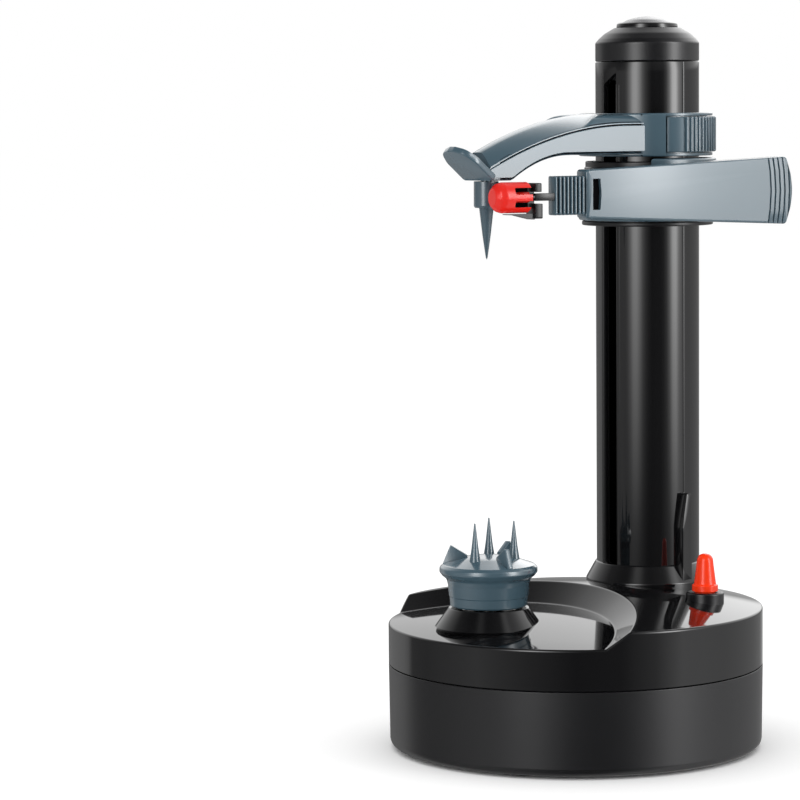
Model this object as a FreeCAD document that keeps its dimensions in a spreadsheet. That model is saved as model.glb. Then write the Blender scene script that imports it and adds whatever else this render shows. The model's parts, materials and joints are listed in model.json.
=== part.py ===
import FreeCAD, Part
import math
import os
import Sketcher
from FreeCAD import Placement, Rotation, Vector

# Countertop rotary peeler. Origin on the table under the centre of the round base, +Z up,
# +X from the food spindle towards the column. Millimetres; angles in degrees.

# Driving dimensions
dimensions = {
    # round base
    "base_radius": 72.5,
    "shell_wall": 2.5,
    "foot_lift": 1.0,
    "bottom_edge": 2.0,
    "rim_band": 21.9,
    "seam_bevel": 0.4,
    "tray_depth": 6.1,
    "crown_rise": 7.8,
    # peel tray sunk into the top
    "tray_x": -72.9,
    "tray_y": 1.0,
    "tray_foot_radius": 69.85,
    "tray_slope_run": 7.9,
    "tray_rise": 4.6,
    "tray_crown": 6.0,
    # feet and shell screws
    "foot_radius": 5.5,
    "foot_inset": 8.0,
    "foot_angle": 30.0,
    "foot_seat": 0.8,
    "post_inset": 6.0,
    "post_angle": 45.0,
    "post_radius": 3.2,
    "screw_radius": 1.5,
    "screw_head_radius": 2.6,
    "screw_head_height": 1.8,
    "screw_head_drop": 14.8,
    "screw_length": 22.0,
    # battery bay
    "bay_end_room": 1.15,
    "contact_room": 1.75,
    "bay_y": -34.5,
    "bay_wall": 1.5,
    "bay_top_room": 3.3,
    "bay_ledge": 2.0,
    "door_thickness": 1.3,
    "door_gap": 0.3,
    "door_tab_width": 10.0,
    "door_tab_length": 8.6,
    "door_screw_x": -18.0,
    "door_screw_gap": 4.3,
    "screw_end_room": 0.6,
    "door_screw_length": 9.0,
    "door_screw_head": 0.9,
    "cell_radius": 7.1,
    "cell_length": 50.5,
    "cell_pitch": 14.5,
    "contact_thickness": 0.5,
    "contact_height": 12.0,
    "contact_side_gap": 1.0,
    "board_thickness": 1.6,
    "board_margin": 0.8,
    "can_radius": 4.0,
    "can_height": 7.5,
    "chip_length": 9.0,
    "chip_width": 6.0,
    "chip_height": 1.8,
    "relay_length": 12.0,
    "relay_width": 8.0,
    # power inlet at the back
    "jack_height": 16.0,
    "jack_radius": 5.4,
    "jack_length": 14.0,
    "jack_inset": 0.6,
    "jack_bore_radius": 2.9,
    "jack_bore_depth": 10.0,
    "jack_pin_radius": 1.0,
    # gear deck and motor
    "deck_room": 3.4,
    "deck_thickness": 2.5,
    "deck_margin": 11.0,
    "deck_front": -10.0,
    "deck_post_radius": 3.5,
    "motor_radius": 12.0,
    "motor_room": 1.5,
    "motor_nose_radius": 3.0,
    "motor_shaft_radius": 1.0,
    # gears
    "gear_module": 1.0,
    "fine_module": 0.7,
    "holder_teeth": 44,
    "idler_teeth": 42,
    "screw_teeth": 15,
    "small_teeth": 12,
    "large_teeth": 50,
    "pinion_teeth": 10,
    "gear_rise": 4.0,
    "gear_thickness": 6.0,
    "fine_rise": 1.5,
    "fine_thickness": 4.0,
    "hub_radius": 4.0,
    "axle_radius": 1.5,
    "axle_end": 1.2,
    "running_gap": 0.05,
    "end_gap": 0.3,
    # food holder
    "spindle_x": -44.1,
    "boss_top_radius": 15.2,
    "boss_base_radius": 20.0,
    "boss_base_rise": 3.4,
    "boss_height": 6.5,
    "bush_radius": 6.0,
    "bush_bottom_drop": 10.5,
    "bush_top_drop": 2.5,
    "shaft_radius": 4.0,
    "journal_radius": 2.95,
    "journal_length": 2.4,
    "shaft_reach": 11.0,
    "holder_gap": 0.5,
    "holder_foot_radius": 14.7,
    "holder_neck_radius": 16.0,
    "holder_bead_radius": 18.7,
    "holder_bead_rise": 14.2,
    "holder_height": 19.6,
    "prong_ring": 9.7,
    "prong_radius": 2.1,
    "prong_rise": 12.9,
    "prong_angle_one": -42.0,
    "prong_angle_two": 48.0,
    "prong_angle_three": 198.0,
    "fin_inner_radius": 7.8,
    "fin_outer_radius": 17.2,
    "fin_peak_radius": 14.3,
    "fin_rise": 3.8,
    "fin_thickness": 2.2,
    "fin_first_angle": 18.0,
    # column
    "column_x": 38.8,
    "column_radius": 20.2,
    "column_wall": 2.4,
    "column_sink": 6.7,
    "column_rise": 210.0,
    "slot_width": 6.8,
    "slot_start": 13.3,
    "slot_end": 8.2,
    "seam_groove": 0.5,
    "column_base_radius": 29.0,
    "column_base_thickness": 2.5,
    "hanger_ring": 25.0,
    "hanger_radius": 3.0,
    "collar_radius": 24.4,
    "collar_edge_rise": 7.9,
    "collar_lean": 6.4,
    "cam_left": -3.7,
    "cam_right": 1.3,
    "cam_rise": 3.5,
    "cam_start": 5.3,
    "cam_straight": 15.0,
    "cam_lean": 13.5,
    "cam_shift": 2.1,
    # top of the column
    "cap_side": 6.9,
    "cap_crown": 6.3,
    "cap_wall": 2.2,
    "plate_drop": 7.2,
    "plate_thickness": 2.5,
    "switch_width": 10.0,
    "switch_height": 5.0,
    "plunger_radius": 1.5,
    "plunger_height": 2.2,
    "button_radius": 11.9,
    "button_gap": 0.35,
    "button_edge_rise": 0.3,
    "button_rise": 4.2,
    "button_wall": 1.5,
    "button_skirt": 6.2,
    "button_travel": 2.0,
    "stem_radius": 2.5,
    # lead screw
    "thread_radius": 3.5,
    "screw_journal_radius": 2.5,
    "screw_tip_radius": 2.0,
    # clamp arm
    "ring_gap": 0.3,
    "clamp_height": 16.6,
    "clamp_drop": 19.9,
    "sleeve_wall": 2.9,
    "flange_radius": 25.4,
    "flange_thickness": 1.2,
    "clamp_radius": 26.8,
    "clamp_front_angle": 124.4,
    "key_depth": 2.3,
    "key_gap": 0.3,
    "release_inner_gap": 0.9,
    "release_smooth_radius": 25.8,
    "release_end_gap": 1.0,
    "release_rib_angle": 99.7,
    "release_rib_pitch": 4.7,
    "arm_tip_x": -48.5,
    "arm_flat_end_x": -39.5,
    "arm_root_x": 20.0,
    "arm_tip_half_width": 8.0,
    "arm_root_half_width": 18.9,
    "arm_tip_drop": 8.0,
    "arm_belly_rise": 1.1,
    "arm_belly_x": -14.0,
    "arm_belly_curve": 0.0145,
    "arm_edge_drop": 3.7,
    "arm_edge_x": 12.0,
    "arm_edge_curve": 0.0043,
    "arm_ridge_drop": 0.2,
    "arm_ridge_x": 12.0,
    "arm_ridge_curve": 0.0038,
    "arm_ridge_half_width": 2.5,
    "tab_width": 17.4,
    "tab_length": 17.2,
    "tab_thickness": 2.6,
    "tab_slope": 45.7,
    # free spike in the arm
    "spike_length": 19.5,
    "spike_collar_drop": 10.3,
    "spike_cone_radius": 2.9,
    "spike_collar_radius": 5.4,
    "spike_stem_radius": 2.0,
    "spike_stem_rise": 7.2,
    # carriage
    "carriage_height": 24.9,
    "carriage_gap": 2.0,
    "carriage_radius": 24.6,
    "carriage_lip_radius": 25.7,
    "carriage_lip": 1.6,
    "nut_rise": 4.7,
    "nut_length": 16.0,
    "nut_radius": 5.6,
    # swinging lever, measured along the lever from the food axis
    "lever_offset": 32.0,
    "cutter_offset": 12.6,
    "lever_thickness": 8.0,
    "lever_left": 35.9,
    "lever_right": 124.5,
    "lever_nose": 3.0,
    "lever_left_drop": 8.5,
    "lever_left_rise": 9.9,
    "lever_right_drop": 12.5,
    "lever_right_rise": 13.7,
    "lever_ring_radius": 26.8,
    "lever_ring_drop": 10.7,
    "lever_ring_rise": 13.5,
    "lever_ring_low_rise": 8.5,
    "window_left": 38.8,
    "window_width": 3.2,
    "grip_groove_left": 115.2,
    "grip_groove_pitch": 2.1,
    "grip_groove_width": 0.8,
    "grip_groove_depth": 0.6,
    # blade cartridge
    "blade_axis_rise": 12.6,
    "blade_axis_depth": 1.0,
    "grip_left": 20.8,
    "grip_face": 2.5,
    "grip_front": -0.8,
    "grip_depth": 8.2,
    "grip_drop": 7.0,
    "grip_height": 14.7,
    "grip_rib_pitch": 1.5,
    "grip_rib_width": 0.85,
    "grip_rib_depth": 0.7,
    "tongue_length": 9.0,
    "tongue_drop": 5.3,
    "tongue_height": 11.8,
    "tongue_front": 2.0,
    "tongue_depth": 4.0,
    "rod_width": 2.8,
    "rod_left": 13.9,
    "pin_radius": 1.2,
    "pin_left": 3.0,
    "head_left": -3.5,
    "head_body_right": 8.0,
    "head_right": 13.5,
    "head_radius": 5.8,
    "prong_gap_low": 2.0,
    "prong_gap_high": 3.4,
    "prong_half_width": 3.2,
    "jaw_length": 3.6,
    "jaw_low_drop": 2.4,
    "jaw_high_rise": 2.0,
    "jaw_top_reach": 5.3,
    "jaw_low_reach": 8.0,
    "jaw_back": 3.0,
    "jaw_back_thickness": 1.2,
    "blade_length": 8.0,
    "blade_height": 7.0,
    "blade_thickness": 0.5,
    "blade_depth": 3.6,
    "blade_slit": 0.8,
    # thumb knife
    "knife_x": 27.6,
    "knife_y": -43.7,
    "socket_radius": 7.25,
    "socket_bore": 4.2,
    "socket_rise": 7.3,
    "knife_stub_radius": 3.9,
    "knife_stub": 5.0,
    "knife_flange_radius": 5.3,
    "knife_flange_height": 2.8,
    "knife_rise": 14.3,
    "knife_blade_width": 5.0,
    "knife_blade_thickness": 0.8,
    "knife_blade_length": 6.8,
}

doc = FreeCAD.newDocument("rotary_peeler")
sheet = doc.addObject("Spreadsheet::Sheet", "sizes")
for row, (alias, number) in enumerate(dimensions.items(), start=1):
    sheet.set(f"A{row}", alias.replace("_", " "))
    sheet.set(f"B{row}", str(number))
    sheet.setAlias(f"B{row}", alias)
doc.recompute()


class Size:
    # A number that also carries the sheet formula it comes from.
    def __init__(self, value, text):
        self.value = float(value)
        self.text = text

    def __add__(self, other):
        other = as_size(other)
        return Size(self.value + other.value, f"({self.text} + {other.text})")

    def __sub__(self, other):
        other = as_size(other)
        return Size(self.value - other.value, f"({self.text} - {other.text})")

    def __mul__(self, other):
        other = as_size(other)
        return Size(self.value * other.value, f"({self.text} * {other.text})")

    def __truediv__(self, other):
        other = as_size(other)
        return Size(self.value / other.value, f"({self.text} / {other.text})")

    def __radd__(self, other):
        return as_size(other) + self

    def __rsub__(self, other):
        return as_size(other) - self

    def __rmul__(self, other):
        return as_size(other) * self

    def __neg__(self):
        return Size(-self.value, f"(-1 * {self.text})")


def as_size(number):
    if isinstance(number, Size):
        return number
    return Size(number, repr(float(number)))


def cosine(angle):
    return Size(math.cos(math.radians(angle.value)), f"cos({angle.text})")


def sine(angle):
    return Size(math.sin(math.radians(angle.value)), f"sin({angle.text})")


def arc_sine(ratio):
    # FreeCAD's asin gives an angle; dividing by one degree leaves a plain number.
    return Size(math.degrees(math.asin(ratio.value)), f"(asin({ratio.text}) / 1 deg)")


class Names:
    # Every driving dimension, reached as dim.some_name.
    pass


dim = Names()
for alias, number in dimensions.items():
    setattr(dim, alias, Size(number, f"sizes.{alias}"))


# Building blocks
def bind(item, prop, size):
    item.setExpression(prop, as_size(size).text)


def at(item, x=0, y=0, z=0):
    spot = Vector(as_size(x).value, as_size(y).value, as_size(z).value)
    item.Placement = Placement(spot, item.Placement.Rotation)
    for axis, size in (("x", x), ("y", y), ("z", z)):
        if isinstance(size, Size):
            bind(item, f"Placement.Base.{axis}", size)
    return item


def turn(item, axis, angle):
    item.Placement = Placement(item.Placement.Base, Rotation(axis, as_size(angle).value))
    if isinstance(angle, Size):
        bind(item, "Placement.Rotation.Angle", angle)
    return item


def cylinder(name, radius, height, x=0, y=0, z=0):
    item = doc.addObject("Part::Cylinder", name)
    bind(item, "Radius", radius)
    bind(item, "Height", height)
    return at(item, x, y, z)


def sector(name, radius, height, angle, start, x, y, z):
    item = cylinder(name, radius, height)
    bind(item, "Angle", angle)
    turn(item, Vector(0, 0, 1), start)
    return at(item, x, y, z)


def cone(name, lower, upper, height, x=0, y=0, z=0):
    item = doc.addObject("Part::Cone", name)
    bind(item, "Radius1", lower)
    bind(item, "Radius2", upper)
    bind(item, "Height", height)
    return at(item, x, y, z)


def box(name, length, width, height, x=0, y=0, z=0):
    item = doc.addObject("Part::Box", name)
    bind(item, "Length", length)
    bind(item, "Width", width)
    bind(item, "Height", height)
    return at(item, x, y, z)


def lying(name, radius, length, x, y, z):
    # a cylinder along +X
    item = doc.addObject("Part::Cylinder", name)
    bind(item, "Radius", radius)
    bind(item, "Height", length)
    turn(item, Vector(0, 1, 0), 90)
    return at(item, x, y, z)


def crown(name, radius, rise, rim, x=0, y=0):
    # a large ball whose top passes through a rim circle and rises above it
    item = doc.addObject("Part::Sphere", name)
    ball = (radius * radius + rise * rise) / (2 * rise)
    bind(item, "Radius", ball)
    return at(item, x, y, rim + rise - ball)


def crown_height(radius, rise, rim, distance):
    # the height of that ball's surface at a distance from its axis, as a number
    ball = (radius.value ** 2 + rise.value ** 2) / (2 * rise.value)
    return rim.value + rise.value - ball + math.sqrt(ball ** 2 - distance ** 2)


def cut(name, base, *tools):
    tool = tools[0]
    if len(tools) > 1:
        tool = fuse(name + "_cuts", *tools)
    item = doc.addObject("Part::Cut", name)
    item.Base = base
    item.Tool = tool
    return item


def fuse(name, *pieces):
    item = doc.addObject("Part::MultiFuse", name)
    item.Shapes = list(pieces)
    return item


def common(name, *pieces):
    item = doc.addObject("Part::MultiCommon", name)
    item.Shapes = list(pieces)
    return item


def group(name, *pieces):
    # separate solids kept in one node
    item = doc.addObject("Part::Compound", name)
    item.Links = list(pieces)
    return item


def pin_point(sketch, line, across, up):
    for kind, axis, size in (("DistanceX", -2, across), ("DistanceY", -1, up)):
        if abs(size.value) < 1e-9:
            sketch.addConstraint(Sketcher.Constraint("PointOnObject", line, 1, axis))
        elif size.value > 0:
            index = sketch.addConstraint(Sketcher.Constraint(kind, -1, 1, line, 1, size.value))
            sketch.setExpression(f"Constraints[{index}]", size.text)
        else:
            index = sketch.addConstraint(Sketcher.Constraint(kind, line, 1, -1, 1, -size.value))
            sketch.setExpression(f"Constraints[{index}]", (-size).text)


def outline(body, role, points):
    sketch = body.newObject("Sketcher::SketchObject", body.Name + "_outline")
    plane = [feature for feature in body.Origin.OriginFeatures if feature.Role == role][0]
    sketch.AttachmentSupport = [(plane, "")]
    sketch.MapMode = "FlatFace"
    points = [(as_size(across), as_size(up)) for across, up in points]
    spots = [Vector(across.value, up.value, 0) for across, up in points]
    count = len(points)
    for i in range(count):
        sketch.addGeometry(Part.LineSegment(spots[i], spots[(i + 1) % count]), False)
    for i in range(count):
        sketch.addConstraint(Sketcher.Constraint("Coincident", i, 2, (i + 1) % count, 1))
    for i, (across, up) in enumerate(points):
        pin_point(sketch, i, across, up)
    return sketch


def turned(name, points, x=0, y=0, z=0, role="XZ_Plane", axis="V_Axis"):
    # a body of revolution; points are (radius, height), or (along, radius) about the H axis
    body = doc.addObject("PartDesign::Body", name)
    sketch = outline(body, role, points)
    feature = body.newObject("PartDesign::Revolution", name + "_turn")
    feature.Profile = sketch
    feature.ReferenceAxis = (sketch, [axis])
    feature.Angle = 360
    return at(body, x, y, z)


def padded(name, points, depth, role="XY_Plane", backwards=False):
    body = doc.addObject("PartDesign::Body", name)
    sketch = outline(body, role, points)
    feature = body.newObject("PartDesign::Pad", name + "_pad")
    feature.Profile = sketch
    bind(feature, "Length", depth)
    feature.Reversed = backwards
    return body


def polar(radius, angle):
    return radius * cosine(angle), radius * sine(angle)


nodes = {}


def node(label, item):
    item.Label = label
    nodes[label] = item
    return item


# Positions worked out from the sizes
inner_radius = dim.base_radius - dim.shell_wall
floor_top = dim.foot_lift + dim.shell_wall
bay_length = 3 * dim.cell_pitch + 2 * dim.cell_radius + 2 * dim.bay_end_room
bay_width = dim.cell_length + 2 * dim.contact_room
contact_width = bay_length - 2 * dim.contact_side_gap
door_screw_y = dim.bay_y + 0.5 * bay_width + dim.door_screw_gap
bay_top = floor_top + 2 * dim.cell_radius + dim.bay_top_room
deck_height = bay_top + dim.board_thickness + dim.deck_room
deck_top = deck_height + dim.deck_thickness
motor_bottom = floor_top + dim.motor_room
fine_level = deck_top + dim.fine_rise
gear_level = fine_level + dim.fine_thickness + dim.gear_rise
gear_top = gear_level + dim.gear_thickness
axle_top = gear_top + dim.axle_end
tray_rim_height = gear_top + dim.tray_rise
rim_height = tray_rim_height + dim.tray_depth
seam_height = rim_height - dim.rim_band
screw_head_level = seam_height - dim.screw_head_drop
boss_base_height = tray_rim_height + dim.boss_base_rise
boss_top_height = boss_base_height + dim.boss_height
bush_bottom = boss_top_height - dim.bush_bottom_drop
bush_top = boss_top_height - dim.bush_top_drop
holder_bottom = boss_top_height + dim.holder_gap
shaft_top = holder_bottom + dim.shaft_reach
holder_bead_height = holder_bottom + dim.holder_bead_rise
holder_top = holder_bottom + dim.holder_height
prong_tip_height = holder_top + dim.prong_rise
fin_peak_height = holder_top + dim.fin_rise
column_bottom = rim_height - dim.column_sink
slot_bottom = rim_height + dim.slot_start
collar_edge_height = rim_height + dim.collar_edge_rise
collar_top = collar_edge_height + dim.collar_lean
cam_bottom = rim_height + dim.cam_start
cam_bend = collar_top + dim.cam_straight
cam_top = cam_bend + dim.cam_lean
socket_top = rim_height + dim.socket_rise
knife_stub_bottom = socket_top - dim.knife_stub
knife_top = socket_top + dim.knife_rise
knife_blade_bottom = knife_stub_bottom - dim.knife_blade_length
column_top = rim_height + dim.column_rise
slot_top = column_top - dim.slot_end
plate_height = column_top - dim.plate_drop
cap_shoulder = column_top + dim.cap_side
cap_rim_height = cap_shoulder + dim.cap_crown
button_edge_height = cap_rim_height + dim.button_edge_rise
clamp_top = column_top - dim.clamp_drop
clamp_bottom = clamp_top - dim.clamp_height
arm_tip_bottom = clamp_bottom - dim.arm_tip_drop
arm_belly = clamp_bottom + dim.arm_belly_rise
arm_edge = clamp_top - dim.arm_edge_drop
arm_ridge = clamp_top - dim.arm_ridge_drop
spike_stem_top = arm_tip_bottom + dim.spike_stem_rise
spike_shoulder = arm_tip_bottom - dim.spike_collar_drop
spike_tip = spike_shoulder - dim.spike_length
carriage_top = clamp_bottom - dim.carriage_gap
carriage_bottom = carriage_top - dim.carriage_height
nut_bottom = carriage_bottom + dim.nut_rise
nut_top = nut_bottom + dim.nut_length
blade_axis_height = carriage_bottom + dim.blade_axis_rise
lever_left_bottom = blade_axis_height - dim.lever_left_drop
lever_left_top = blade_axis_height + dim.lever_left_rise
lever_right_bottom = blade_axis_height - dim.lever_right_drop
lever_right_top = blade_axis_height + dim.lever_right_rise
lever_ring_bottom = blade_axis_height - dim.lever_ring_drop
lever_ring_top = blade_axis_height + dim.lever_ring_rise
lever_ring_low_top = blade_axis_height + dim.lever_ring_low_rise
grip_bottom = blade_axis_height - dim.grip_drop
tongue_bottom = blade_axis_height - dim.tongue_drop
post_ring = inner_radius - dim.post_inset
foot_ring = inner_radius - dim.foot_inset
deck_radius = inner_radius - dim.deck_margin
idler_x = dim.spindle_x + dim.gear_module * (dim.holder_teeth + dim.idler_teeth) / 2
screw_x = idler_x + dim.gear_module * (dim.idler_teeth + dim.screw_teeth) / 2
compound_y = dim.gear_module * (dim.idler_teeth + dim.small_teeth) / 2
motor_y = compound_y + dim.fine_module * (dim.large_teeth + dim.pinion_teeth) / 2
ring_bore = dim.column_radius + dim.ring_gap
column_bore = dim.column_radius - dim.column_wall
quarter_turns = [as_size(90 * i) for i in range(4)]
post_spots = [polar(post_ring, dim.post_angle + a) for a in quarter_turns]
foot_spots = [
    polar(foot_ring, side)
    for side in (dim.foot_angle, 180 - dim.foot_angle, 180 + dim.foot_angle, 360 - dim.foot_angle)
]
foot_spots.append((as_size(0), as_size(0)))
deck_post_spots = [
    (as_size(-30), as_size(0)),
    (as_size(12), as_size(0)),
    (as_size(-36), as_size(38)),
    (as_size(34), as_size(38)),
]


# Lower shell: a round cup with the battery bay, screw posts and deck posts
def lower_shell():
    d = dim
    cup = turned(
        "lower_cup",
        [
            (0, d.foot_lift),
            (d.base_radius - d.bottom_edge, d.foot_lift),
            (d.base_radius, d.foot_lift + d.bottom_edge),
            (d.base_radius, seam_height - d.seam_bevel),
            (d.base_radius - d.seam_bevel, seam_height),
            (inner_radius, seam_height),
            (inner_radius, floor_top),
            (0, floor_top),
        ],
    )
    outer_length = bay_length + 2 * d.bay_wall
    outer_width = bay_width + 2 * d.bay_wall
    bay_rise = bay_top - d.foot_lift - 0.5 * d.shell_wall
    bay_start = d.foot_lift + 0.5 * d.shell_wall
    bay_y = d.bay_y - 0.5 * bay_width
    bay_block = box(
        "bay_block", outer_length, outer_width, bay_rise, -0.5 * outer_length, bay_y - d.bay_wall, bay_start
    )
    bay_limit = cylinder("bay_limit", d.base_radius - 0.5 * d.shell_wall, bay_rise, z=bay_start)
    bay = common("bay_outside", bay_block, bay_limit)
    posts = []
    for i, (x, y) in enumerate(post_spots):
        posts.append(cylinder(f"shell_post_{i}", d.post_radius, seam_height - d.foot_lift, x, y, d.foot_lift))
    for i, (x, y) in enumerate(deck_post_spots):
        posts.append(cylinder(f"deck_post_{i}", d.deck_post_radius, deck_height - floor_top, x, y, floor_top))
    door_spot = (d.door_screw_x, door_screw_y)
    posts.append(cylinder("door_post", d.post_radius, d.door_screw_length + 3, *door_spot, floor_top - 1))
    whole = fuse("lower_whole", cup, bay, *posts)
    tools = [box("bay_room", bay_length, bay_width, bay_top, -0.5 * bay_length, bay_y, floor_top)]
    mouth_length = bay_length - 2 * d.bay_ledge
    mouth_width = bay_width - 2 * d.bay_ledge
    tools.append(
        box("bay_mouth", mouth_length, mouth_width, floor_top, -0.5 * mouth_length, bay_y + d.bay_ledge, 0)
    )
    tools.append(
        box("door_seat", bay_length, bay_width, d.door_thickness, -0.5 * bay_length, bay_y, d.foot_lift)
    )
    tab_room = d.door_tab_width + 2 * d.door_gap
    tab_length = d.door_tab_length + d.door_gap
    tab_y = d.bay_y + 0.5 * bay_width
    tab_x = d.door_screw_x - 0.5 * tab_room
    tools.append(box("door_tab_seat", tab_room, tab_length, d.door_thickness, tab_x, tab_y, d.foot_lift))
    thread_length = d.door_screw_head + d.door_screw_length + d.screw_end_room
    tools.append(cylinder("door_thread", d.screw_radius, thread_length, *door_spot, d.foot_lift))
    for i, (x, y) in enumerate(post_spots):
        tools.append(cylinder(f"screw_way_{i}", d.screw_radius, seam_height, x, y, d.foot_lift))
        head_room = d.screw_head_radius + 0.1
        tools.append(
            cylinder(f"head_way_{i}", head_room, screw_head_level + d.screw_head_height, x, y, 0)
        )
    for i, (x, y) in enumerate(deck_post_spots):
        tools.append(cylinder(f"deck_thread_{i}", d.screw_radius, deck_height, x, y, floor_top + 8))
    for i, (x, y) in enumerate(foot_spots):
        tools.append(cylinder(f"foot_seat_{i}", d.foot_radius, d.foot_seat, x, y, d.foot_lift))
    jack_start = d.base_radius - d.jack_inset - d.jack_length
    tools.append(lying("jack_hole", d.jack_radius, 2 * d.jack_length, jack_start, 0, d.jack_height))
    node("lower_shell", cut("lower_shell_cut", whole, *tools))


# Feet, screws, battery door, cells and contacts
def base_fittings():
    d = dim
    feet = []
    for i, (x, y) in enumerate(foot_spots):
        feet.append(cylinder(f"foot_{i}", d.foot_radius, d.foot_lift + d.foot_seat, x, y, 0))
    node("rubber_feet", group("feet_group", *feet))
    screws = []
    for i, (x, y) in enumerate(post_spots):
        head = cylinder(f"screw_head_{i}", d.screw_head_radius, d.screw_head_height, x, y, screw_head_level)
        shank = cylinder(
            f"screw_shank_{i}", d.screw_radius, d.screw_length, x, y, screw_head_level + d.screw_head_height
        )
        screws.append(fuse(f"shell_screw_{i}", head, shank))
    node("shell_screws", group("shell_screw_group", *screws))
    deck_screws = []
    for i, (x, y) in enumerate(deck_post_spots):
        head = cylinder(f"deck_head_{i}", d.screw_head_radius, d.screw_head_height, x, y, deck_top)
        shank = cylinder(f"deck_shank_{i}", d.screw_radius, 10, x, y, deck_top - 10)
        deck_screws.append(fuse(f"deck_screw_{i}", head, shank))
    node("deck_screws", group("deck_screw_group", *deck_screws))
    door_length = bay_length - 2 * d.door_gap
    door_width = bay_width - 2 * d.door_gap
    door_y = d.bay_y - 0.5 * door_width
    plate = box("door_plate", door_length, door_width, d.door_thickness, -0.5 * door_length, door_y, d.foot_lift)
    grip = box("door_grip", 14, 1.2, 0.6, -7, door_y + 4, d.foot_lift)
    second = box("door_grip_two", 14, 1.2, 0.6, -7, door_y + 7, d.foot_lift)
    tab = box(
        "door_tab",
        d.door_tab_width,
        d.door_tab_length,
        d.door_thickness,
        d.door_screw_x - 0.5 * d.door_tab_width,
        d.bay_y + 0.5 * door_width,
        d.foot_lift,
    )
    bind(tab, "Width", d.door_tab_length + d.door_gap)
    hole = cylinder("door_hole", d.screw_radius + 0.1, 5, d.door_screw_x, door_screw_y, 0)
    spot = (d.door_screw_x, door_screw_y)
    head_seat = cylinder("door_head_seat", d.screw_head_radius, d.door_screw_head, *spot, d.foot_lift)
    node("battery_door", cut("battery_door_cut", fuse("door_whole", plate, tab), grip, second, hole, head_seat))
    head = cylinder("door_screw_head", d.screw_head_radius, d.door_screw_head, *spot, d.foot_lift)
    shank_z = d.foot_lift + d.door_screw_head
    shank = cylinder("door_screw_shank", d.screw_radius, d.door_screw_length, *spot, shank_z)
    node("door_screw", fuse("door_screw_fuse", head, shank))
    cells = []
    contacts = []
    cell_y = d.bay_y - 0.5 * d.cell_length
    for i in range(4):
        cell_x = d.cell_pitch * (i - 1.5)
        can = doc.addObject("Part::Cylinder", f"cell_{i}")
        bind(can, "Radius", d.cell_radius)
        bind(can, "Height", d.cell_length)
        turn(can, Vector(1, 0, 0), -90)
        cells.append(at(can, cell_x, cell_y, floor_top + d.cell_radius))
    node("battery_cells", group("cell_group", *cells))
    bay_low = d.bay_y - 0.5 * bay_width
    bay_high = d.bay_y + 0.5 * bay_width
    reach = 0.5 * (bay_width - d.cell_length) - d.contact_thickness
    for side, (plate_y, bump_y) in enumerate(
        (
            (bay_low, bay_low + d.contact_thickness),
            (bay_high - d.contact_thickness, bay_high - d.contact_thickness - reach),
        )
    ):
        strip = box(
            f"contact_strip_{side}",
            contact_width,
            d.contact_thickness,
            d.contact_height,
            -0.5 * contact_width,
            plate_y,
            floor_top + 1,
        )
        parts = [strip]
        for i in range(4):
            bump = doc.addObject("Part::Cylinder", f"contact_bump_{side}_{i}")
            bind(bump, "Radius", 0.4 * d.cell_radius)
            bind(bump, "Height", reach)
            turn(bump, Vector(1, 0, 0), -90)
            parts.append(at(bump, d.cell_pitch * (i - 1.5), bump_y, floor_top + d.cell_radius))
        contacts.append(fuse(f"contact_{side}", *parts))
    node("battery_contacts", group("contact_group", *contacts))


# Control board over the bay, power inlet in the back wall
def electrics():
    d = dim
    length = bay_length + 2 * d.board_margin
    width = bay_width - 2 * d.board_margin
    board_y = d.bay_y - 0.5 * width + 1.5 * d.board_margin
    board = box("board_plate", length, width, d.board_thickness, -0.5 * length, board_y, bay_top)
    top = bay_top + d.board_thickness
    can = cylinder("board_can", d.can_radius, d.can_height, 0.26 * length, d.bay_y, top)
    chip_y = d.bay_y - 0.5 * d.chip_width
    chip = box("board_chip", d.chip_length, d.chip_width, d.chip_height, -0.23 * length, chip_y, top)
    relay_y = d.bay_y - 0.38 * width
    relay = box("board_relay", d.relay_length, d.relay_width, d.relay_width, -0.065 * length, relay_y, top)
    node("control_board", fuse("control_board_fuse", board, can, chip, relay))
    front = d.base_radius - d.jack_inset
    barrel = lying("jack_barrel", d.jack_radius, d.jack_length, front - d.jack_length, 0, d.jack_height)
    bore = lying("jack_bore", d.jack_bore_radius, d.jack_length, front - d.jack_bore_depth, 0, d.jack_height)
    pin = lying("jack_pin", d.jack_pin_radius, d.jack_bore_depth - 1, front - d.jack_bore_depth, 0, d.jack_height)
    node("power_jack", fuse("power_jack_fuse", cut("jack_tube", barrel, bore), pin))


# Upper shell: crowned lid, sunken peel tray, spindle boss and inside posts
def tray_slope():
    # the sloping wall between tray floor and land, lofted through upright sections on an arc
    d = dim
    foot = d.tray_foot_radius.value
    run = d.tray_slope_run.value
    centre = Vector(d.tray_x.value, d.tray_y.value, 0)
    middle = math.atan2(-centre.y, -centre.x)
    reach = 1.15
    sections = []
    for i in range(9):
        angle = middle + reach * (i - 4) / 4
        ray = Vector(math.cos(angle), math.sin(angle), 0)

        def spot(out, height):
            return centre + ray * out + Vector(0, 0, height)

        low_distance = (centre + ray * foot).Length
        high_distance = (centre + ray * (foot + run)).Length
        low = crown_height(d.base_radius, d.tray_crown, tray_rim_height, low_distance)
        high = crown_height(d.base_radius, d.crown_rise, rim_height, high_distance)
        over = (high - low) / run
        corners = [
            spot(foot - 1, low - over),
            spot(foot + 1.4 * run, low + 1.4 * run * over),
            spot(foot + 1.4 * run, high + 14),
            spot(foot - 1, high + 14),
        ]
        sections.append(Part.makePolygon(corners + corners[:1]))
    slope = doc.addObject("Part::Feature", "tray_slope")
    slope.Shape = Part.makeLoft(sections, True, False)
    return slope


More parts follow.
